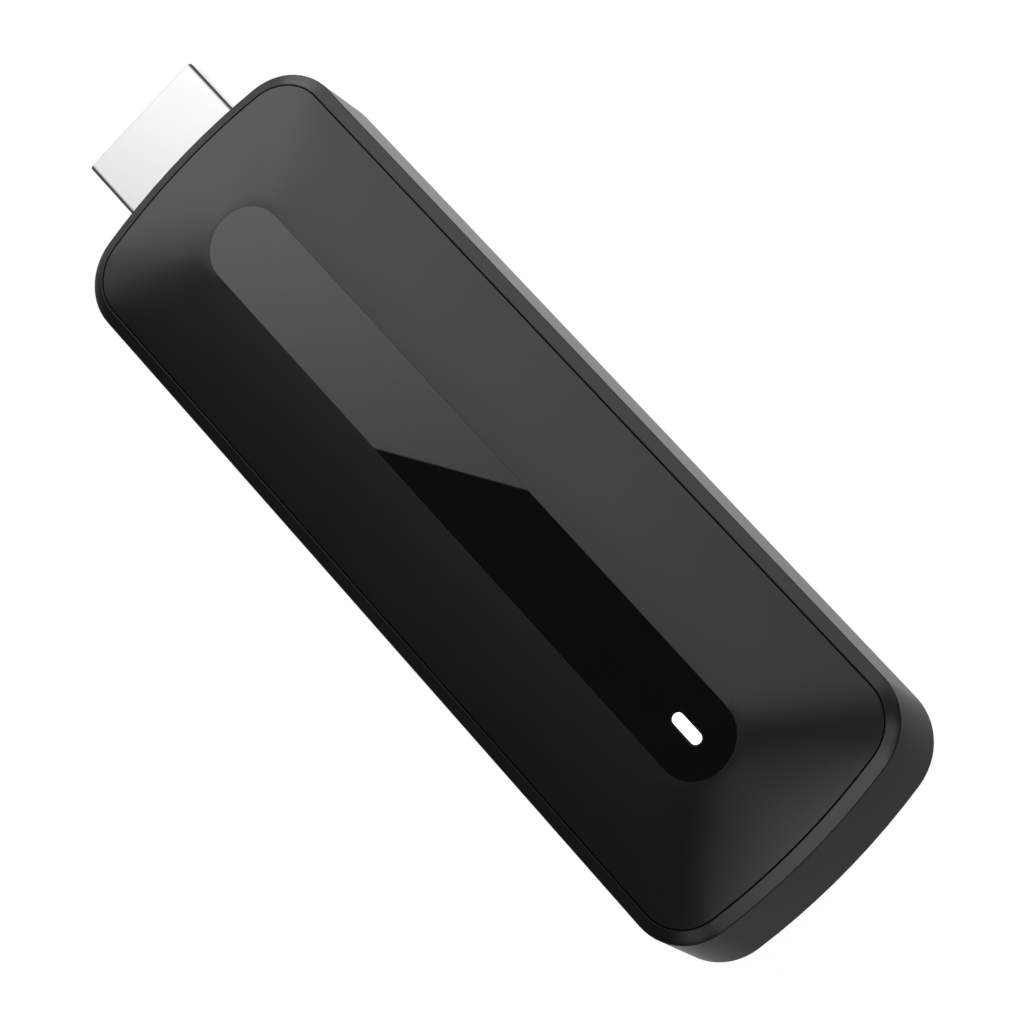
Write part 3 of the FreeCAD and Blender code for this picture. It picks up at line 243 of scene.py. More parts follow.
# %% One class for all finishes
class Finish(Wiring):
    """A material being made."""

    def __init__(self, name, **sockets):
        self.material = bpy.data.materials.new(name)
        super().__init__(self.material)
        self.shader = self.tree.nodes["Principled BSDF"]
        self.fed = {}
        for socket, value in sockets.items():
            self.feed(socket.replace("_", " ").title(), value)

    def feed(self, socket, value):
        """Set or link one of the shader's own sockets, and remember what it was given."""
        connect(self.tree, self.shader.inputs[socket], value)
        self.fed[socket] = value

    def relief(self, height, depth):
        """Raise the surface by a pattern, depth metres from its lowest to its highest."""
        self.feed("Normal", self.node("ShaderNodeBump", {}, {"Height": height, "Distance": depth,
                                                             "Strength": 1.0}))

    def mottle(self, dark, bright, rough, fine, patch, share, depth):
        """Vary gloss and height by a fine pattern, and colour by a share of it and by patches."""
        lowest, highest = rough
        self.feed("Base Color", self.mix(dark, bright, share * fine + (1 - share) * patch))
        self.feed("Roughness", lowest + (highest - lowest) * fine)
        self.relief(fine, depth)


def grey(level, warmth=0.0):
    """A neutral colour, made warmer or cooler by a share of its level."""
    return (level * (1 + warmth), level, level * (1 - warmth), 1)


finishes = {}
print("A warm mid grey is", grey(0.5, 0.02))

# %% [markdown]
# ## Satin black casing
#
# The casing is moulded in a spark-eroded tool, which leaves a fine grain in the plastic. From an
# arm's length the grain can't be seen as such: it only spreads the reflections. So the colour is
# nearly black, the roughness is middling with slow, faint changes, and the grain is a bump a few
# thousandths of a millimetre deep. A picture of the grain would do too, but noise needs no file.
#
# The tray has both faces of that tool: its upright wall is polished, and its rim band is as grained
# as the lid. The height of the shoulder between them is read off the tray, and gloss follows it.

# %% Casing finishes
SATIN, POLISHED, WALL_GRAIN = 0.26, 0.08, 0.5
FLOW_LUMPS, GRAIN_LUMPS, GRAIN_DEPTH = 90, 7000, 4e-6
FLOW_GLOSS, GRAIN_GLOSS = 0.05, 0.03
COOL_BLACK, WARM_BLACK = grey(0.0065, -0.01), grey(0.0085, 0.01)
# Heights and points that lie closer together than this, in millimetres, are the same
LEVEL = 0.001


def moulded_black(name, polished_to=None):
    """Nearly black satin plastic, polished where it lies lower than a height in metres."""
    finish = Finish(name)
    flow = finish.noise(FLOW_LUMPS, detail=3.0)
    grain = finish.noise(GRAIN_LUMPS, detail=1.0)
    grained = 1.0 if polished_to is None else finish.along("Z") > polished_to
    rough = POLISHED + (SATIN - POLISHED) * grained
    finish.feed("Base Color", finish.mix(COOL_BLACK, WARM_BLACK, flow))
    finish.feed("Roughness", rough + FLOW_GLOSS * flow + GRAIN_GLOSS * grain)
    finish.relief(grain * grained + WALL_GRAIN * grain * (1 - grained), GRAIN_DEPTH)
    return finish


tray_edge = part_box("lower_housing")[1]
wall_face = [vert.co for vert in nodes["lower_housing"].data.vertices
             if vert.co.y > tray_edge.y - LEVEL * MM]
RIM_TOP, SHOULDER = tray_edge.z / MM, max(spot.z for spot in wall_face) / MM
SHOULDER_ROUND = 0.1
finishes["casing_black"] = moulded_black("casing_black")
tray_black = moulded_black("tray_black", polished_to=(SHOULDER - SHOULDER_ROUND) * MM)
print("The tray's wall ends at %.2f mm and its rim at %.2f mm" % (SHOULDER, RIM_TOP))

# %% [markdown]
# ## The inlay: grey film and infrared window
#
# The grey half is a printed film with a soft satin face. Its colour darkens from the plug's end to
# the window, and a little from one long side to the other, as a painted reflection of the soft
# boxes, so its colour is a blend along two axes.
# The dark half is a black plastic that lets infrared light through. It is moulded in a polished
# tool and takes sharp reflections, so there the roughness does most of the work.

# %% Grey film
SHEEN_FADE_ACROSS, SHEEN_FADE_SHARE, PRINT_LUMPS = 0.03 / MM, 0.9, 60
# The pale and dark greys are the lit and shaded ends of a painted reflection, with a little random
# mottle
LIT_FILM_GREY, SHADED_FILM_GREY = grey(0.11, 0.02), grey(0.042, 0.02)
FILM_GLOSS, TOOTH_GLOSS, TOOTH_LUMPS, TOOTH_DEPTH = 0.26, 0.04, 9000, 2e-6
inlay_grey = Finish("inlay_grey")
strip_low, strip_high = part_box("badge_plate")
# Painted reflection: pale at the plug's end, dark at the window, and changing a little across the
# strip
sheen_fade_along = inlay_grey.along("X", strip_low) * (1 / (strip_high.x - strip_low.x))
painted_sheen_fade = sheen_fade_along - SHEEN_FADE_ACROSS * inlay_grey.along("Y")
sheen_and_mottle = SHEEN_FADE_SHARE * painted_sheen_fade + (1 - SHEEN_FADE_SHARE) * inlay_grey.noise(PRINT_LUMPS)
film_tooth = inlay_grey.noise(TOOTH_LUMPS, detail=1.0)
inlay_grey.feed("Base Color", inlay_grey.mix(LIT_FILM_GREY, SHADED_FILM_GREY, sheen_and_mottle))
inlay_grey.feed("Roughness", FILM_GLOSS + TOOTH_GLOSS * film_tooth)
inlay_grey.relief(film_tooth, TOOTH_DEPTH)
finishes["inlay_grey"] = inlay_grey
print("The grey strip is %.1f mm long" % ((strip_high.x - strip_low.x) / MM))

# %% Infrared window
WINDOW_GLOSS, WINDOW_HAZE, HAZE_LUMPS = 0.07, 0.03, 200
window_black = Finish("window_black")
window_haze = window_black.noise(HAZE_LUMPS)
window_black.feed("Base Color", window_black.mix(grey(0.0026), grey(0.0034, 0.02), window_haze))
window_black.feed("Roughness", WINDOW_GLOSS + WINDOW_HAZE * window_haze)
finishes["window_black"] = window_black
print("Inlay finishes:", inlay_grey.material.name, window_black.material.name)

# %% [markdown]
# ## The lit slot
#
# The lamp sits on the board and a clear plastic pipe carries its light up into the inlay. Seen from
# outside, the pipe's end is simply an even white glow with a diffuser's fine tooth, a little weaker
# towards its round ends. Emission gives that without any lamp in the scene. It is kept to the end
# face: the pipe's sides are clear and dark, which draws the thin dark ring round the slot.

# %% Light pipe finish
pipe_low, pipe_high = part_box("led_light_pipe")
pipe_middle = (pipe_low + pipe_high) / 2
pipe_head = [vert.co for vert in nodes["led_light_pipe"].data.vertices
             if vert.co.z > pipe_high.z - LEVEL * MM]
pipe_length = 2 * max(spot.x - pipe_middle.x for spot in pipe_head)
pipe_width = 2 * max(spot.y - pipe_middle.y for spot in pipe_head)

LIT_DEPTH, TOOTHED_LUMPS, TOOTHED_DEPTH = 0.1 * MM, 5000, 5e-6
CLEAR_SIDE, WHITE_FACE = grey(0.02), grey(0.8)
FULL_GLOW, EDGE_GLOW, NO_GLOW = grey(1.0), grey(0.9), grey(0.0)
light_pipe = Finish("light_pipe", roughness=0.35, emission_strength=1.0)
end_face = light_pipe.along("Z") > pipe_high.z - LIT_DEPTH
from_centre = light_pipe.distance(pipe_middle, stretch=(2 / pipe_length, 0, 0))
slot_glow = light_pipe.mix(FULL_GLOW, EDGE_GLOW, from_centre * from_centre)
light_pipe.feed("Emission Color", light_pipe.mix(NO_GLOW, slot_glow, end_face))
light_pipe.feed("Base Color", light_pipe.mix(CLEAR_SIDE, WHITE_FACE, end_face))
light_pipe.relief(light_pipe.noise(TOOTHED_LUMPS, detail=1.0), TOOTHED_DEPTH)
finishes["light_pipe"] = light_pipe
print("The glowing slot is %.2f x %.2f mm" % (pipe_length / MM, pipe_width / MM))

# %% [markdown]
# ## Metals
#
# The plug's shell is drawn steel with a satin nickel plate: bright, soft and streaked a little along
# the way it was drawn. Noise that is stretched along one axis gives such streaks. The other metals
# inside use the same recipe with their own colours: rolled tin plate, gold plate, turned steel and
# extruded aluminium.

# %% A recipe for streaked metal
ALONG_X, ALONG_Y = (0.04, 1, 1), (1, 0.04, 1)
CLOUD_LUMPS, STREAK_SHARE = 120, 0.5


def metal(name, dark, bright, rough, streaks, stretch, depth):
    """A metal whose colour, gloss and surface vary in streaks. rough is the lowest and highest."""
    finish = Finish(name, metallic=1.0)
    streak = finish.noise(streaks, detail=3.0, stretch=stretch)
    cloud = finish.noise(CLOUD_LUMPS)
    finish.mottle(dark, bright, rough, streak, cloud, STREAK_SHARE, depth)
    finishes[name] = finish


# Name, two colours, roughness, streaks to the metre, their run, depth in metres
metals = [
    ("plug_steel", (0.95, 0.95, 0.94, 1), (1.0, 1.0, 0.99, 1), (0.42, 0.5), 5000, ALONG_X, 2e-6),
    ("can_steel", (0.62, 0.62, 0.61, 1), (0.74, 0.74, 0.73, 1), (0.28, 0.42), 2500, ALONG_Y, 4e-6),
    ("screw_steel", (0.42, 0.42, 0.43, 1), (0.6, 0.6, 0.61, 1), (0.25, 0.4), 6000, ALONG_Y, 3e-6),
    ("contact_gold", (0.78, 0.52, 0.2, 1), (0.94, 0.7, 0.32, 1), (0.2, 0.32), 8000, ALONG_X, 1e-6),
    ("spreader_aluminium", (0.68, 0.69, 0.7, 1), (0.82, 0.83, 0.84, 1), (0.3, 0.45), 3000,
     ALONG_X, 6e-6),
]
for row in metals:
    metal(*row)
print("Metals:", [row[0] for row in metals])

# %% [markdown]
# ## Painted dark bends and tip
#
# On the plug, the two long bends get a painted dark reflection in their colour, for what their
# rounding would mirror, and the tip gets a painted shade line for its rounded front edge. These
# could be painted on a picture of the shell, but a point's place already tells whether it is on
# one: far enough from the plug's middle, and high up.

# %% Painted dark reflection on the plug's bends, painted shade at its tip
core_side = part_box("plug_insulator")[1].y
plug_low, plug_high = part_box("plug_shell")
BEND_START, BEND_END, BEND_TOP, BEND_FOOT = 0.1 * MM, 0.33 * MM, 0.6 * MM, 0.9 * MM
# Width of the painted shade line at the tip, and how strongly it darkens the steel
TIP_WIDTH, TIP_SHADE_SHARE = 0.12 * MM, 0.7
# The first grey is a painted dark reflection for the bends, the second a painted shade for the tip
BEND_DARK_REFLECTION, TIP_PAINTED_SHADE = grey(0.07, 0.03), grey(0.5)
plug_steel = finishes["plug_steel"]
from_spine = plug_steel.distance((0, 0, 0), stretch=(0, 1, 0))
outward = plug_steel.ramp(from_spine, core_side - BEND_START, core_side + BEND_END)
upward = plug_steel.ramp(plug_steel.along("Z"), plug_high.z - BEND_FOOT, plug_high.z - BEND_TOP)
tip = 1 - plug_steel.ramp(plug_steel.along("X"), plug_low.x, plug_low.x + TIP_WIDTH)
# Painted dark reflection along the upper part of the bends
steel_with_dark_bends = plug_steel.mix(plug_steel.fed["Base Color"], BEND_DARK_REFLECTION, outward * upward)
# Painted shade line along the tip
plug_steel.feed("Base Color", plug_steel.mix(steel_with_dark_bends, TIP_PAINTED_SHADE, TIP_SHADE_SHARE * tip))
print("The plug's core is %.2f mm wide" % (2 * core_side / MM))

# %% [markdown]
# ## Plastics, ceramics and pads
#
# The rest of the insides are moulded or pressed: epoxy packages with a fine speckle, tan ceramic,
# grey ferrite, soft thermal pads, glue. They differ in colour, gloss, grain size and grain depth,
# so one recipe with those four choices makes them all.

# %% A recipe for grainy solids
PATCH_LUMPS, SPECKLE_SHARE = 150, 0.6


def grainy(name, dark, bright, rough, grains, depth):
    """A solid with a speckle of its own size and depth. rough is the lowest and highest."""
    finish = Finish(name)
    speckle = finish.noise(grains)
    patch = finish.noise(PATCH_LUMPS)
    finish.mottle(dark, bright, rough, speckle, patch, SPECKLE_SHARE, depth)
    finishes[name] = finish


# Name, two colours, roughness, grains to the metre, depth in metres
grainy_solids = [
    ("insulator", grey(0.008), grey(0.014), (0.4, 0.5), 4000, 4e-6),
    ("chip_black", grey(0.014), grey(0.03), (0.45, 0.6), 9000, 5e-6),
    ("capacitor_tan", (0.36, 0.22, 0.12, 1), (0.5, 0.34, 0.2, 1), (0.4, 0.55), 7000, 3e-6),
    ("inductor_grey", grey(0.07), grey(0.13), (0.5, 0.65), 8000, 6e-6),
    ("thermal_pad", (0.22, 0.3, 0.42, 1), (0.3, 0.39, 0.52, 1), (0.6, 0.75), 3000, 2e-5),
    ("adhesive", grey(0.55, 0.05), grey(0.68, 0.05), (0.35, 0.6), 2500, 1e-5),
    ("receiver_epoxy", (0.012, 0.008, 0.014, 1), (0.024, 0.016, 0.028, 1), (0.12, 0.2), 2500, 2e-6),
    ("switch_plastic", grey(0.012), grey(0.02), (0.4, 0.5), 6000, 4e-6),
    ("plunger_white", grey(0.6), grey(0.7), (0.4, 0.5), 6000, 3e-6),
    ("label_grey", grey(0.24), grey(0.28), (0.42, 0.55), 5000, 3e-6),
]
for row in grainy_solids:
    grainy(*row)
print("Finishes so far:", len(finishes))

# %% [markdown]
# ## The circuit board and the lamp
#
# A board is copper tracks and round pads under a coat of green lacquer, which shows the copper as a
# lighter green. Real artwork would be thousands of lines. A brick pattern, stretched along the
# board, gives rows of tracks with breaks in them, and a cell pattern's centres give the vias.

# %% Board finish
LACQUER, TRACK_GREEN = (0.006, 0.034, 0.016, 1), (0.012, 0.075, 0.03, 1)
VIA_GOLD, VIA_SIZE, VIA_METAL = (0.6, 0.42, 0.16, 1), 0.12, 0.8
BOARD_ROUGH, VIA_POLISH, TRACK_DEPTH = 0.45, 0.12, 2e-5
board = Finish("board", coat_weight=0.4, coat_roughness=0.15)
tracks = board.node("ShaderNodeTexBrick", {"offset": 0.4, "squash": 1.7}, {
    "Vector": board.place(), "Scale": 700, "Mortar Size": 0.04, "Brick Width": 2.6, "Row Height": 0.3,
    "Color1": grey(0.0), "Color2": grey(0.0), "Mortar": grey(1.0)}, output="Fac")
vias = board.node("ShaderNodeTexVoronoi", {}, {"Vector": board.place(stretch=(1, 1, 0)), "Scale": 420},
                  output="Distance") < VIA_SIZE
copper = board.mix(LACQUER, TRACK_GREEN, tracks)
board.feed("Base Color", board.mix(copper, VIA_GOLD, vias))
board.feed("Metallic", VIA_METAL * vias)
board.feed("Roughness", BOARD_ROUGH - VIA_POLISH * vias)
board.relief(tracks, TRACK_DEPTH)
finishes["board"] = board
print("The board's finish has", len(board.tree.nodes), "nodes")

# %% Lamp finish
LAMP_WHITE, PHOSPHOR_YELLOW, PHOSPHOR_RADIUS = grey(0.75), (0.85, 0.7, 0.16, 1), 0.5 * MM
LAMP_ROUGH, PHOSPHOR_POLISH = 0.4, 0.2
lamp_low, lamp_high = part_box("status_led")
led_white = Finish("led_white")
from_middle = led_white.distance((lamp_low + lamp_high) / 2, stretch=(1, 1, 0))
phosphor = from_middle < PHOSPHOR_RADIUS
led_white.feed("Base Color", led_white.mix(LAMP_WHITE, PHOSPHOR_YELLOW, phosphor))
led_white.feed("Roughness", LAMP_ROUGH - PHOSPHOR_POLISH * phosphor)
finishes["led_white"] = led_white
print("Finishes:", sorted(finishes))

# %% [markdown]
# ## Finishes on the CAD nodes
#
# The record of the part names a finish for each node, so a loop hands them out. The nodes that stay
# as they are, mostly the electronics inside, are done with this. The outer ones get better surfaces
# in the next cells, which then stand in for them.

# %% Hand the finishes out
slots = {row["node"]: row["material_slot"] for row in frame["record"]["subparts"]}
for name, node in nodes.items():
    node.data.materials.clear()
    node.data.materials.append(finishes[slots[name]].material)
print("Nodes with a finish:", len(slots))

# %% [markdown]
# ## Drawing an outline with spins
#
# Both the casing's outline and the inlay's pill are made of straight runs and arcs. A single vertex
# that is spun in steps leaves a chain of edges behind it, and a spin with no angle and a step moves
# it along a straight run. Because both shapes are the same in all four quarters, one quarter is
# drawn and mirrored, and both quarters get the same number of edges, so that they can be bridged.

# %% Sizes of the casing and the inlay, in millimetres
def span(name):
    """The lowest and highest corner of a CAD node, in millimetres."""
    low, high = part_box(name)
    return low / MM, high / MM


tray_low, tray_high = span("lower_housing")
CASING_MIDDLE = (tray_low.x + tray_high.x) / 2
HALF_LENGTH, HALF_WIDTH = (tray_high.x - tray_low.x) / 2, tray_high.y
# The radius of the corners, and how far each end of the casing bows out
CORNER, END_BOW = 6.0, 1.71
BOW_RADIUS = (HALF_WIDTH ** 2 + END_BOW ** 2) / (2 * END_BOW)
BOW_CENTRE = BOW_RADIUS - HALF_LENGTH
CORNER_Y = HALF_WIDTH - CORNER
CORNER_X = math.sqrt((BOW_RADIUS - CORNER) ** 2 - CORNER_Y ** 2) - BOW_CENTRE
BOW_TURN = math.atan2(CORNER_Y, CORNER_X + BOW_CENTRE)
print("Casing: corner centres at x %.2f, y %.2f mm" % (CORNER_X, CORNER_Y))

inlay_start, inlay_end = span("badge_plate")[0].x, span("ir_window")[1].x
PILL_RADIUS, CROWN_TOP = span("badge_plate")[1].y, span("badge_plate")[1].z
PILL_REACH = (inlay_end - inlay_start) / 2 - PILL_RADIUS
# The pill's round end is drawn in two runs, to match the casing's corner and bow
PILL_SHARE = 0.7
PILL_TURN = math.asin(PILL_SHARE)
INLAY_SHIFT = (inlay_start + inlay_end) / 2 - CASING_MIDDLE
SIDE_STEPS, CORNER_STEPS, BOW_STEPS = 20, 14, 10
print("Inlay: arc centres at x %.2f, shifted %.2f mm" % (PILL_REACH, INLAY_SHIFT))


# %% A chain of edges from one vertex
def trace(form, start, runs):
    """Draw a chain of edges. A run is a turn about a centre, or a straight move, in steps."""
    before = set(form.edges)
    tip = bmesh.ops.create_vert(form, co=start)["vert"][0]
    for centre, angle, move, steps in runs:
        step = Vector(move) / steps
        grown = bmesh.ops.spin(form, geom=[tip], cent=centre, axis=(0, 0, 1), dvec=step,
                               angle=angle, steps=steps, use_merge=False)
        tip = next(item for item in grown["geom_last"] if isinstance(item, bmesh.types.BMVert))
    return [edge for edge in form.edges if edge not in before]


def casing_ring(form, inset, height):
    """A quarter of the casing's outline, moved inward."""
    side = HALF_WIDTH - inset
    return trace(form, (0, side, height), [
        ((0, 0, 0), 0, (CORNER_X, 0, 0), SIDE_STEPS),
        ((CORNER_X, CORNER_Y, 0), BOW_TURN - math.pi / 2, (0, 0, 0), CORNER_STEPS),
        ((-BOW_CENTRE, 0, 0), -BOW_TURN, (0, 0, 0), BOW_STEPS),
    ])


def pill_ring(form, margin, height):
    """A quarter of the inlay's pill, made larger all round."""
    return trace(form, (0, PILL_RADIUS + margin, height), [
        ((0, 0, 0), 0, (PILL_REACH, 0, 0), SIDE_STEPS),
        ((PILL_REACH, 0, 0), PILL_TURN - math.pi / 2, (0, 0, 0), CORNER_STEPS),
        ((PILL_REACH, 0, 0), -PILL_TURN, (0, 0, 0), BOW_STEPS),
    ])


print("Edges in a quarter:", SIDE_STEPS + CORNER_STEPS + BOW_STEPS)

# %% [markdown]
# ## The crowned cover
#
# The lid is a shell with a skirt that drops inside the tray's wall, a slope all round that rises to
# the inlay, and a shallow recess for the inlay's strip. Seen in section it is one closed line, so it
# is built as a stack of rings, each bridged to the next, up the outside and back down the inside.
# The recess floor is left out, because it gets openings first.

# %% Rings of the cover
EDGE_INSET = HALF_WIDTH - span("top_cover")[1].y
SKIRT_BOTTOM, SKIRT_THICK, ROOF_SPRING, ROOF_UNDER = 7.0, 1.0, 8.5, 10.19
RECESS_FLOOR = span("inlay_adhesive")[0].z
RECESS_PLAY, RECESS_LAND, ROOF_SPREAD = 0.01, 0.04, 0.1

cover_form = bmesh.new()
cover_rings = [
    casing_ring(cover_form, EDGE_INSET, SKIRT_BOTTOM),
    casing_ring(cover_form, EDGE_INSET, RIM_TOP),
    pill_ring(cover_form, RECESS_PLAY + RECESS_LAND, CROWN_TOP),
    pill_ring(cover_form, RECESS_PLAY, CROWN_TOP),
    pill_ring(cover_form, RECESS_PLAY, RECESS_FLOOR),
    pill_ring(cover_form, ROOF_SPREAD, ROOF_UNDER),
    casing_ring(cover_form, EDGE_INSET + SKIRT_THICK, ROOF_SPRING),
    casing_ring(cover_form, EDGE_INSET + SKIRT_THICK, SKIRT_BOTTOM),
]
# Counted from 0, the slope starts from ring 1, at the rim
RIM_RING = 1
for lower, upper in ((0, 1), (1, 2), (2, 3), (3, 4), (5, 6), (6, 7), (7, 0)):
    walls = bmesh.ops.bridge_loops(cover_form, edges=cover_rings[lower] + cover_rings[upper])
    if lower == RIM_RING:
        slope = walls["faces"]
print("Faces in a quarter of the cover:", len(cover_form.faces))

# %% [markdown]
# ## The crown's soft corners
#
# Bridged as it is, the slope has a ridge from each corner of the casing to the inlay's round end,
# and a moulded crown has none: light passes over its corners without a line. So the slope is
# divided, its new vertices are marked, and they are smoothed many times over while the two rings
# hold still, as a sheet of rubber would settle between two frames. Marks live in a layer, so the
# mirrored copies carry them too. A slight lift, most of it half way up, then gives the crown its
# fullness.

# %% Divide, mirror and smooth the slope
CROWN_CUTS, CROWN_SMOOTHINGS = 9, 150
mark = cover_form.verts.layers.int.new("slope")
# The keys of a dict keep their order, so each run numbers the vertices in the same way
rising = dict.fromkeys(edge for face in slope for edge in face.edges
                       if abs(edge.verts[0].co.z - edge.verts[1].co.z) > LEVEL)
divided = bmesh.ops.subdivide_edges(cover_form, edges=list(rising), cuts=CROWN_CUTS,
                                    use_grid_fill=True)
for item in divided["geom_inner"]:
    if isinstance(item, bmesh.types.BMVert):
        item[mark] = 1
for axis in "XY":
    everything = cover_form.verts[:] + cover_form.edges[:] + cover_form.faces[:]
    bmesh.ops.mirror(cover_form, geom=everything, matrix=Matrix.Identity(4), merge_dist=LEVEL,
                     axis=axis)
crown = [vert for vert in cover_form.verts if vert[mark]]
for _ in range(CROWN_SMOOTHINGS):
    bmesh.ops.smooth_vert(cover_form, verts=crown, factor=0.5, use_axis_x=True, use_axis_y=True,
                          use_axis_z=True)
print("Vertices smoothed in the crown:", len(crown))

# %% Lift the crown, and shift its top to where the inlay lies
CROWN_LIFT = 0.22
for vert in crown:
    share = (vert.co.z - RIM_TOP) / (CROWN_TOP - RIM_TOP)
    vert.co.z += 4 * CROWN_LIFT * share * (1 - share)
for vert in cover_form.verts:
    share = min(max((vert.co.z - RIM_TOP) / (CROWN_TOP - RIM_TOP), 0), 1)
    vert.co.x += INLAY_SHIFT * share
print("Faces in the whole cover:", len(cover_form.faces))

# %% [markdown]
# ## Openings through the recess floor
#
# The lit slot and the infrared receiver look out through two holes in the recess floor. Cutting
# them with a Boolean would do, but it tends to leave slivers. Here each hole starts as two outlines,
# at the roof's underside and at the recess floor, with a wall bridged between them. What lies round
# the holes at either height is then filled with triangles.

# %% The outline of an opening
OPENING_STEPS = 6


def opening_ring(form, middle_x, length, width, radius, height):
    """A closed rounded rectangle, or a slot where the radius is half its width."""
    reach_x, reach_y = length / 2 - radius, width / 2 - radius
    runs = []
    for turn_x, turn_y in ((1, 1), (1, -1), (-1, -1), (-1, 1)):
        move = (2 * reach_x * turn_y, 0, 0) if turn_x == turn_y else (0, -2 * reach_y * turn_x, 0)
        if Vector(move).length > LEVEL:
            runs.append(((0, 0, 0), 0, move, 1))
        corner = (middle_x + turn_x * reach_x, turn_y * reach_y, 0)
        runs.append((corner, -math.pi / 2, (0, 0, 0), OPENING_STEPS))
    return trace(form, (middle_x - reach_x, width / 2, height), runs)


def at_height(form, height):
    """Edges that lie at one height, within a thousandth of a millimetre."""
    return [edge for edge in form.edges if all(abs(vert.co.z - height) < LEVEL for vert in edge.verts)]


print("Steps round an opening's corners:", 4 * OPENING_STEPS)

# %% Openings for the lamp and the receiver
PIPE_PLAY, RECEIVER_ROUND = 0.12, 0.6
receiver_low, receiver_high = span("ir_receiver")
slot_length, slot_width = pipe_length / MM + 2 * PIPE_PLAY, pipe_width / MM + 2 * PIPE_PLAY
openings = [
    (pipe_middle.x / MM - CASING_MIDDLE, slot_length, slot_width, slot_width / 2),
    ((receiver_low.x + receiver_high.x) / 2 - CASING_MIDDLE, receiver_high.x - receiver_low.x,
     receiver_high.y - receiver_low.y, RECEIVER_ROUND),
]
for middle_x, length, width, radius in openings:
    for height in (ROOF_UNDER, RECESS_FLOOR):
        opening_ring(cover_form, middle_x, length, width, radius, height)
    bmesh.ops.remove_doubles(cover_form, verts=cover_form.verts, dist=LEVEL / 2)
    bmesh.ops.bridge_loops(cover_form, edges=[edge for edge in cover_form.edges if edge.is_wire])
for height in (ROOF_UNDER, RECESS_FLOOR):
    open_edges = [edge for edge in at_height(cover_form, height) if len(edge.link_faces) == 1]
    bmesh.ops.triangle_fill(cover_form, edges=open_edges, use_beauty=True, normal=(0, 0, 1))
print("Edges left open:", sum(len(edge.link_faces) != 2 for edge in cover_form.edges))

# %% [markdown]
# ## Eaves and snap hooks
#
# The slope's lower edge gets a tiny radius: it is one side of the fine seam, and a sharp edge there
# would look cut. Under the lid, six hooks snap into the tray's wall. They are never seen once it is
# closed, but the piece is whole: a blade each, with a barb whose lower edge is slanted to lead in.

# %% Round the eaves
EAVES_ROUND = 0.06


def ease(form, edges, radius, segments=3):
    """Round edges, or cut them on a slant with one segment."""
    bmesh.ops.bevel(form, geom=edges, offset=radius, offset_type="OFFSET", segments=segments,
                    profile=0.5, affect="EDGES", material=-1)


bmesh.ops.recalc_face_normals(cover_form, faces=cover_form.faces)
ease(cover_form, at_height(cover_form, RIM_TOP), EAVES_ROUND)
print("Eaves rounded by %.2f mm" % EAVES_ROUND)


# %% Six snap hooks
def block(form, low, high):
    """A box between two opposite corners."""
    size = [abs(far - near) for near, far in zip(low, high)]
    verts = bmesh.ops.create_cube(form, size=1)["verts"]
    bmesh.ops.scale(form, vec=size, verts=verts)
    bmesh.ops.translate(form, vec=(Vector(low) + Vector(high)) / 2, verts=verts)
    return verts


HOOK_INNER, HOOK_OUTER, HALF_HOOK, HOOK_INSET = 12.4, 13.2, 2.0, 9.2
HOOK_BOTTOM, HOOK_TOP = span("top_cover")[0].z, 8.7
BARB_OUT, BARB_HEIGHT, BARB_LEAD = 0.5, 0.8, 0.45
barb_top = HOOK_BOTTOM + BARB_HEIGHT
hook_reach = HALF_LENGTH - HOOK_INSET
for x in (-hook_reach, 0, hook_reach):
    for side in (-1, 1):
        block(cover_form, (x - HALF_HOOK, side * HOOK_OUTER, barb_top),
              (x + HALF_HOOK, side * HOOK_INNER, HOOK_TOP))
        barb = block(cover_form, (x - HALF_HOOK, side * (HOOK_OUTER + BARB_OUT), HOOK_BOTTOM),
                     (x + HALF_HOOK, side * HOOK_INNER, barb_top))
        lead = dict.fromkeys(edge for vert in barb for edge in vert.link_edges
                             if all(abs(end.co.y) > HOOK_OUTER + BARB_OUT / 2
                                    and end.co.z < HOOK_BOTTOM + BARB_HEIGHT / 2
                                    for end in edge.verts))
        ease(cover_form, list(lead), BARB_LEAD, segments=1)
bmesh.ops.translate(cover_form, vec=(CASING_MIDDLE, 0, 0), verts=cover_form.verts)
print("Faces with hooks:", len(cover_form.faces))

# %% [markdown]
# ## From a form to a piece
#
# Every piece is finished the same way: it is scaled to metres, shaded smooth with its real corners
# kept sharp, given its finish, set to ride on its body, and the CAD node it stands for is hidden.
# Where a piece has small edge rounds, its flat faces pass their direction on to them. Where it has
# none, the broad faces have the most say, so they stay even. The object itself stays at the origin,
# as the CAD nodes do.

# %% Finish the cover
SHARP_CORNER, FULL_WEIGHT = 32, 100


def finish_piece(form, name, node, body="stick", corner=SHARP_CORNER, edge_round=None):
    """Turn a form in millimetres into a piece that stands for a CAD node."""
    for face in form.faces:
        face.smooth = True
    for edge in form.edges:
        edge.smooth = edge.calc_face_angle(0) < math.radians(corner)
    bmesh.ops.scale(form, vec=(MM, MM, MM), verts=form.verts)
    mesh = bpy.data.meshes.new(name)
    form.to_mesh(mesh)
    form.free()
    mesh.materials.append(finishes[slots[node]].material)
    piece = add_object(name, mesh)
    if edge_round:
        rounding = piece.modifiers.new("edge_round", "BEVEL")
        rounding.width = edge_round * MM
        rounding.segments = 2
        rounding.limit_method = "ANGLE"
        rounding.angle_limit = math.radians(corner)
        rounding.harden_normals = True
    else:
        leveller = piece.modifiers.new("level_faces", "WEIGHTED_NORMAL")
        leveller.keep_sharp = True
        leveller.weight = FULL_WEIGHT
    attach(piece, body)
    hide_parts(node)
    return piece


cover = finish_piece(cover_form, "crowned_cover", "top_cover")
print("Cover:", len(cover.data.polygons), "faces")

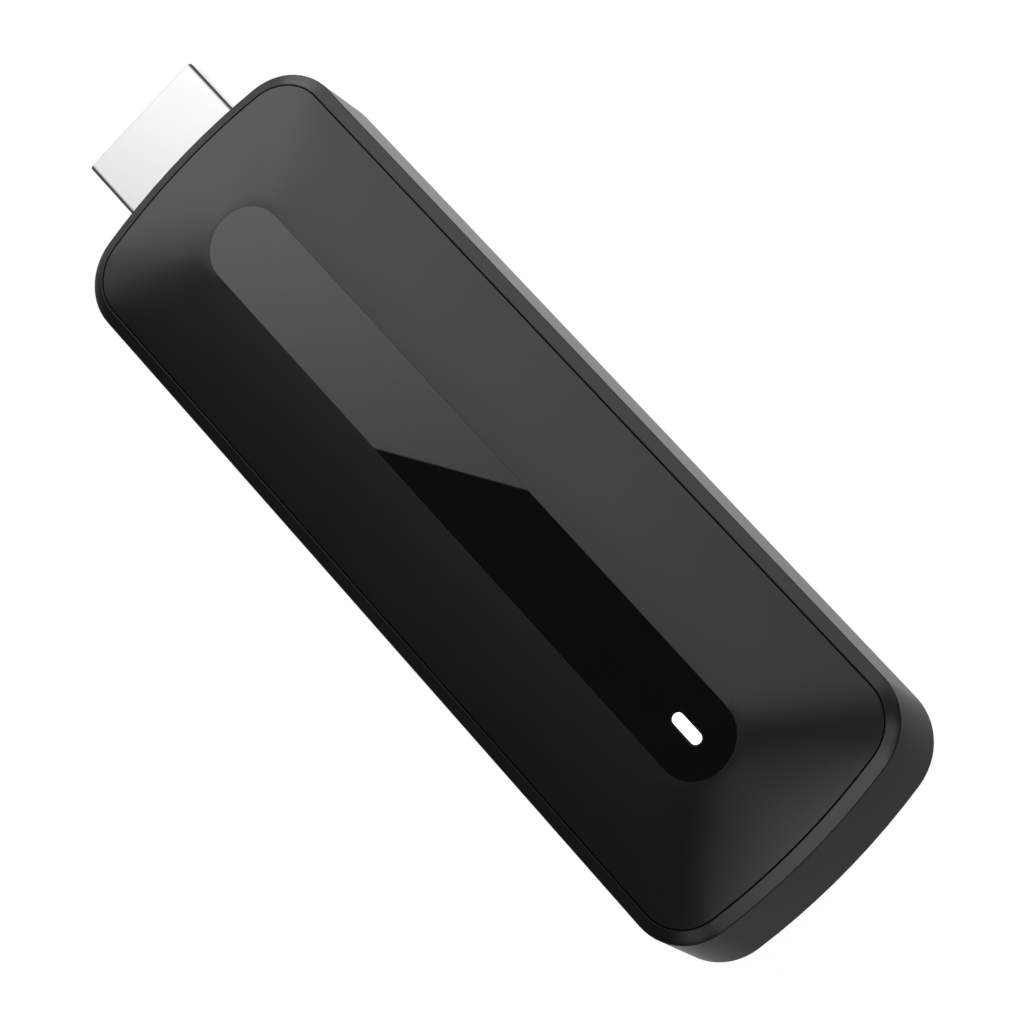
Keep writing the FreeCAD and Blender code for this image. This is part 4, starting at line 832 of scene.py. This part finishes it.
# %% [markdown]
# ## Pieces recast from the CAD
#
# Some CAD shapes are already right: the tray with its openings, the plug, the inlet. What a CAD
# export lacks is the tiny radius that every real edge has, and that radius is what catches the
# light. So those nodes are copied, their loose triangles are welded and joined into whole faces,
# and their edges are rounded. The CAD mesh itself stays as it was.

# %% The tray, with a small radius on the shoulder of its rim band
FLAT_ANGLE, RIM_CORNER = math.radians(0.3), 25


def recast(node):
    """A copy of a CAD node in millimetres, welded, with its flat faces made whole."""
    form = bmesh.new()
    form.from_mesh(nodes[node].data)
    bmesh.ops.scale(form, vec=(1 / MM, 1 / MM, 1 / MM), verts=form.verts)
    bmesh.ops.remove_doubles(form, verts=form.verts, dist=LEVEL / 2)
    bmesh.ops.dissolve_limit(form, angle_limit=FLAT_ANGLE, use_dissolve_boundaries=False,
                             verts=form.verts, edges=form.edges)
    return form


tray_form = recast("lower_housing")
shoulder = at_height(tray_form, SHOULDER)
ease(tray_form, shoulder, SHOULDER_ROUND)
tray = finish_piece(tray_form, "tray", "lower_housing", corner=RIM_CORNER)
tray.data.materials[0] = tray_black.material
print("Tray:", len(tray.data.polygons), "faces,", len(shoulder), "shoulder edges rounded")

# %% [markdown]
# ## The remaining outer pieces
#
# The strips of the inlay, the plug with its core, the reset button, the power inlet, the light pipe
# and the blank label only need their edges eased. How much depends on how each is made: a cut film
# is almost sharp, a drawn steel lip is round.

# %% Ease the edges of the outer pieces
outer_pieces = [
    ("grey_strip", "badge_plate", "stick", 0.03),
    ("infrared_strip", "ir_window", "stick", 0.03),
    ("glowing_slot", "led_light_pipe", "stick", 0.05),
    ("plug_steel_shell", "plug_shell", "stick", 0.08),
    ("plug_core", "plug_insulator", "stick", 0.05),
    ("inlet_steel_shell", "inlet_shell", "stick", 0.06),
    ("inlet_core", "inlet_tongue", "stick", 0.04),
    ("blank_label", "rating_label", "stick", 0.02),
    ("reset_cap", "reset_button", "button", 0.05),
]
for name, node, body, radius in outer_pieces:
    piece = finish_piece(recast(node), name, node, body, edge_round=radius)
    print(name, "has", len(piece.data.polygons), "faces before rounding")

# %% [markdown]
# ## Glows that only some rays see
#
# The stick lies on a white sheet that fills the picture. A floor lit to full white would need lamps
# so strong that they burn out the object. So, for rays from the camera, most of the floor's colour is
# its own white glow, and the rest is a plain surface that takes the shadow. A Light Path node tells
# what kind of ray has hit the floor, and its answer mixes the glow in.

# %% Mix in a glow by the kind of ray
CLEAR_VIEW, REFLECTION = ["Is Camera Ray", "Is Transmission Ray"], ["Is Glossy Ray"]


def by_ray(wiring, rays, share, other, glow):
    """Mix a glow over another shader, by the share that the named kinds of ray are shown."""
    seen = wiring.node("ShaderNodeLightPath", output=rays[0])
    chosen = seen
    for kind in rays[1:]:
        chosen = chosen + seen.beside(kind)
    return wiring.node("ShaderNodeMixShader", {}, {"Fac": share * chosen, "Shader": other,
                                                   "Shader_001": glow})


print("Told apart:", CLEAR_VIEW + REFLECTION)

# %% [markdown]
# ## What the casing mirrors
#
# In the reflections on the casing's walls the real floor is a calm light grey that falls off slowly
# away from the plug, and quickly past the other end, so reflections get a weaker glow that does the
# same. Only beside the plug is it white in reflections too, and the plug's flat side vanishes in it.

# %% The floor's grey in reflections
MIRROR_NEAR, MIRROR_FAR, MIRROR_PAST, MIRROR_PLUG = grey(0.54), grey(0.34), grey(0.235), grey(1.0)
MIRROR_REACH, PAST_BEFORE, PAST_AFTER = 100 * MM, 16 * MM, 4 * MM
PLUG_REACH, PLUG_FADE = 11 * MM, 17 * MM
paper = bpy.data.materials.new("white_paper")
paper_wiring = Wiring(paper)
along_floor = paper_wiring.along("X")
falling = paper_wiring.ramp(along_floor, -MIRROR_REACH, MIRROR_REACH)
past_end = paper_wiring.ramp(along_floor, cad_box[1].x - PAST_BEFORE, cad_box[1].x + PAST_AFTER)
plug_spot = ((plug_low.x + tray_low.x * MM) / 2, 0, 0)
from_plug = paper_wiring.distance(plug_spot, stretch=(1, 1, 0))
past_plug = paper_wiring.ramp(from_plug, PLUG_REACH, PLUG_FADE)
beside_casing = paper_wiring.mix(MIRROR_NEAR, MIRROR_FAR, falling)
beyond_casing = paper_wiring.mix(beside_casing, MIRROR_PAST, past_end)
mirrored_grey = paper_wiring.mix(MIRROR_PLUG, beyond_casing, past_plug)
print("The floor turns white in reflections at x = %.1f mm" % (plug_spot[0] / MM))

# %% A white sheet that keeps the shadow
FLOOR_SIZE, GLOW_SHOWN, GLOW_MIRRORED = 3.0, 0.9, 1.0
SHEET_WHITE, SHEET_PLAIN, SHEET_DROP = 1.07, grey(0.8), 0.02 * MM
white_glow = paper_wiring.node("ShaderNodeEmission", {}, {"Color": grey(1.0), "Strength": SHEET_WHITE})
dim_glow = paper_wiring.node("ShaderNodeEmission", {}, {"Color": mirrored_grey, "Strength": 1.0})
plain_paper = paper_wiring.node("ShaderNodeBsdfDiffuse", {}, {"Color": SHEET_PLAIN})
mirrored_paper = by_ray(paper_wiring, REFLECTION, GLOW_MIRRORED, plain_paper, dim_glow)
paper_face = by_ray(paper_wiring, CLEAR_VIEW, GLOW_SHOWN, mirrored_paper, white_glow)
paper_wiring.surface("Material Output", paper_face)

floor_form = bmesh.new()
sheet = bmesh.ops.create_grid(floor_form, x_segments=1, y_segments=1, size=FLOOR_SIZE)["verts"]
bmesh.ops.translate(floor_form, vec=(0, 0, -SHEET_DROP), verts=sheet)
floor_mesh = bpy.data.meshes.new("white_floor")
floor_form.to_mesh(floor_mesh)
floor_form.free()
floor_mesh.materials.append(paper)
floor = add_object("white_floor", floor_mesh)
print("White floor, %.0f m across" % (2 * FLOOR_SIZE))

# %% [markdown]
# ## Studio light
#
# Black plastic is lit by what it reflects. Each face of the crown looks at one part of the studio,
# so large soft boxes, each at its own height and strength, decide how grey each face turns. They
# stand in groups: behind the plug end for the brightest slope, round the far corner and along the
# far side for the long bright slope, weak ones overhead for the lamp end, and four past that end,
# mostly for its rim band. Neighbours in a group differ a little in strength, which softens the
# shading from one slope to the next. The near side has next to nothing, so that slope stays dark,
# and so does the part of the ceiling that the flat inlay looks at.

# %% A soft box
def soft_box(name, direction, distance, size, strength):
    """A square lamp that faces the stick. strength is how bright its face looks, 1 being white."""
    lamp = bpy.data.lights.new(name, "AREA")
    lamp.shape = "SQUARE"
    lamp.size = size
    lamp.energy = strength * math.pi * size * size
    holder = add_object(name, lamp)
    holder.location = Vector(direction).normalized() * distance
    holder.rotation_euler = Vector(direction).to_track_quat("Z", "Y").to_euler()
    holder.visible_camera = False
    return holder


print("A soft box of strength 1 looks white")

# %% Soft boxes round the stick
STAND_OFF = 0.9
# Name, direction from the stick, size in metres, strength
lamp_plan = [
    ("plug_end_low", (-0.92, -0.02, 0.33), 0.4, 1.9),
    ("plug_end_high", (-0.72, -0.06, 0.68), 0.4, 1.7),
    ("near_corner", (-0.78, -0.43, 0.46), 0.25, 1.0),
    ("far_corner", (-0.75, 0.35, 0.55), 0.4, 1.7),
    ("far_corner_low", (-0.80, 0.50, 0.30), 0.5, 2.1),
    ("far_corner_high", (-0.62, 0.25, 0.74), 0.25, 0.9),
    ("far_side_low", (-0.25, 0.85, 0.35), 0.6, 0.7),
    ("far_side_middle", (-0.44, 0.66, 0.60), 0.35, 0.9),
    ("far_side_top", (-0.46, 0.32, 0.82), 0.4, 1.1),
    ("near_side_top", (-0.46, -0.40, 0.80), 0.25, 0.2),
    ("overhead", (0.20, -0.10, 0.97), 0.4, 0.4),
    ("overhead_end", (0.40, -0.10, 0.91), 0.3, 0.4),
    ("overhead_far", (0.05, 0.46, 0.89), 0.25, 0.55),
    ("lamp_end", (0.60, 0.0, 0.80), 0.5, 2.0),
    ("lamp_end_far", (0.38, 0.44, 0.80), 0.35, 1.4),
    ("lamp_end_near", (0.38, -0.60, 0.70), 0.35, 1.0),
    ("lamp_end_low", (0.92, -0.12, 0.36), 0.25, 1.0),
]
soft_boxes = [soft_box(name, direction, STAND_OFF, size, strength)
              for name, direction, size, strength in lamp_plan]
print("Soft boxes:", [box.name for box in soft_boxes])

# %% [markdown]
# ## The room
#
# Between the soft boxes the casing mirrors the room itself, so the room is a dim, even grey. Where
# the camera looks past the floor, the room is white like the sheet, so no horizon shows. The same
# mix by the kind of ray does that.

# %% A dim room, white where the camera sees it
ROOM_GREY, WHITE_SHOWN = 0.038, 1.0
world = bpy.data.worlds.new("dim_room")
world_wiring = Wiring(world)
room = world_wiring.node("ShaderNodeBackground", {}, {"Color": grey(ROOM_GREY)})
backdrop = world_wiring.node("ShaderNodeBackground", {}, {"Color": grey(1.0)})
world_wiring.surface("World Output", by_ray(world_wiring, CLEAR_VIEW, WHITE_SHOWN, room, backdrop))
bpy.context.scene.world = world
bpy.context.scene.view_settings.view_transform = "Standard"
print("Room light:", ROOM_GREY)

# %% [markdown]
# ## The CAD model's box
#
# The CAD model's box, taken at the start before any dressing, is kept in cad_box.
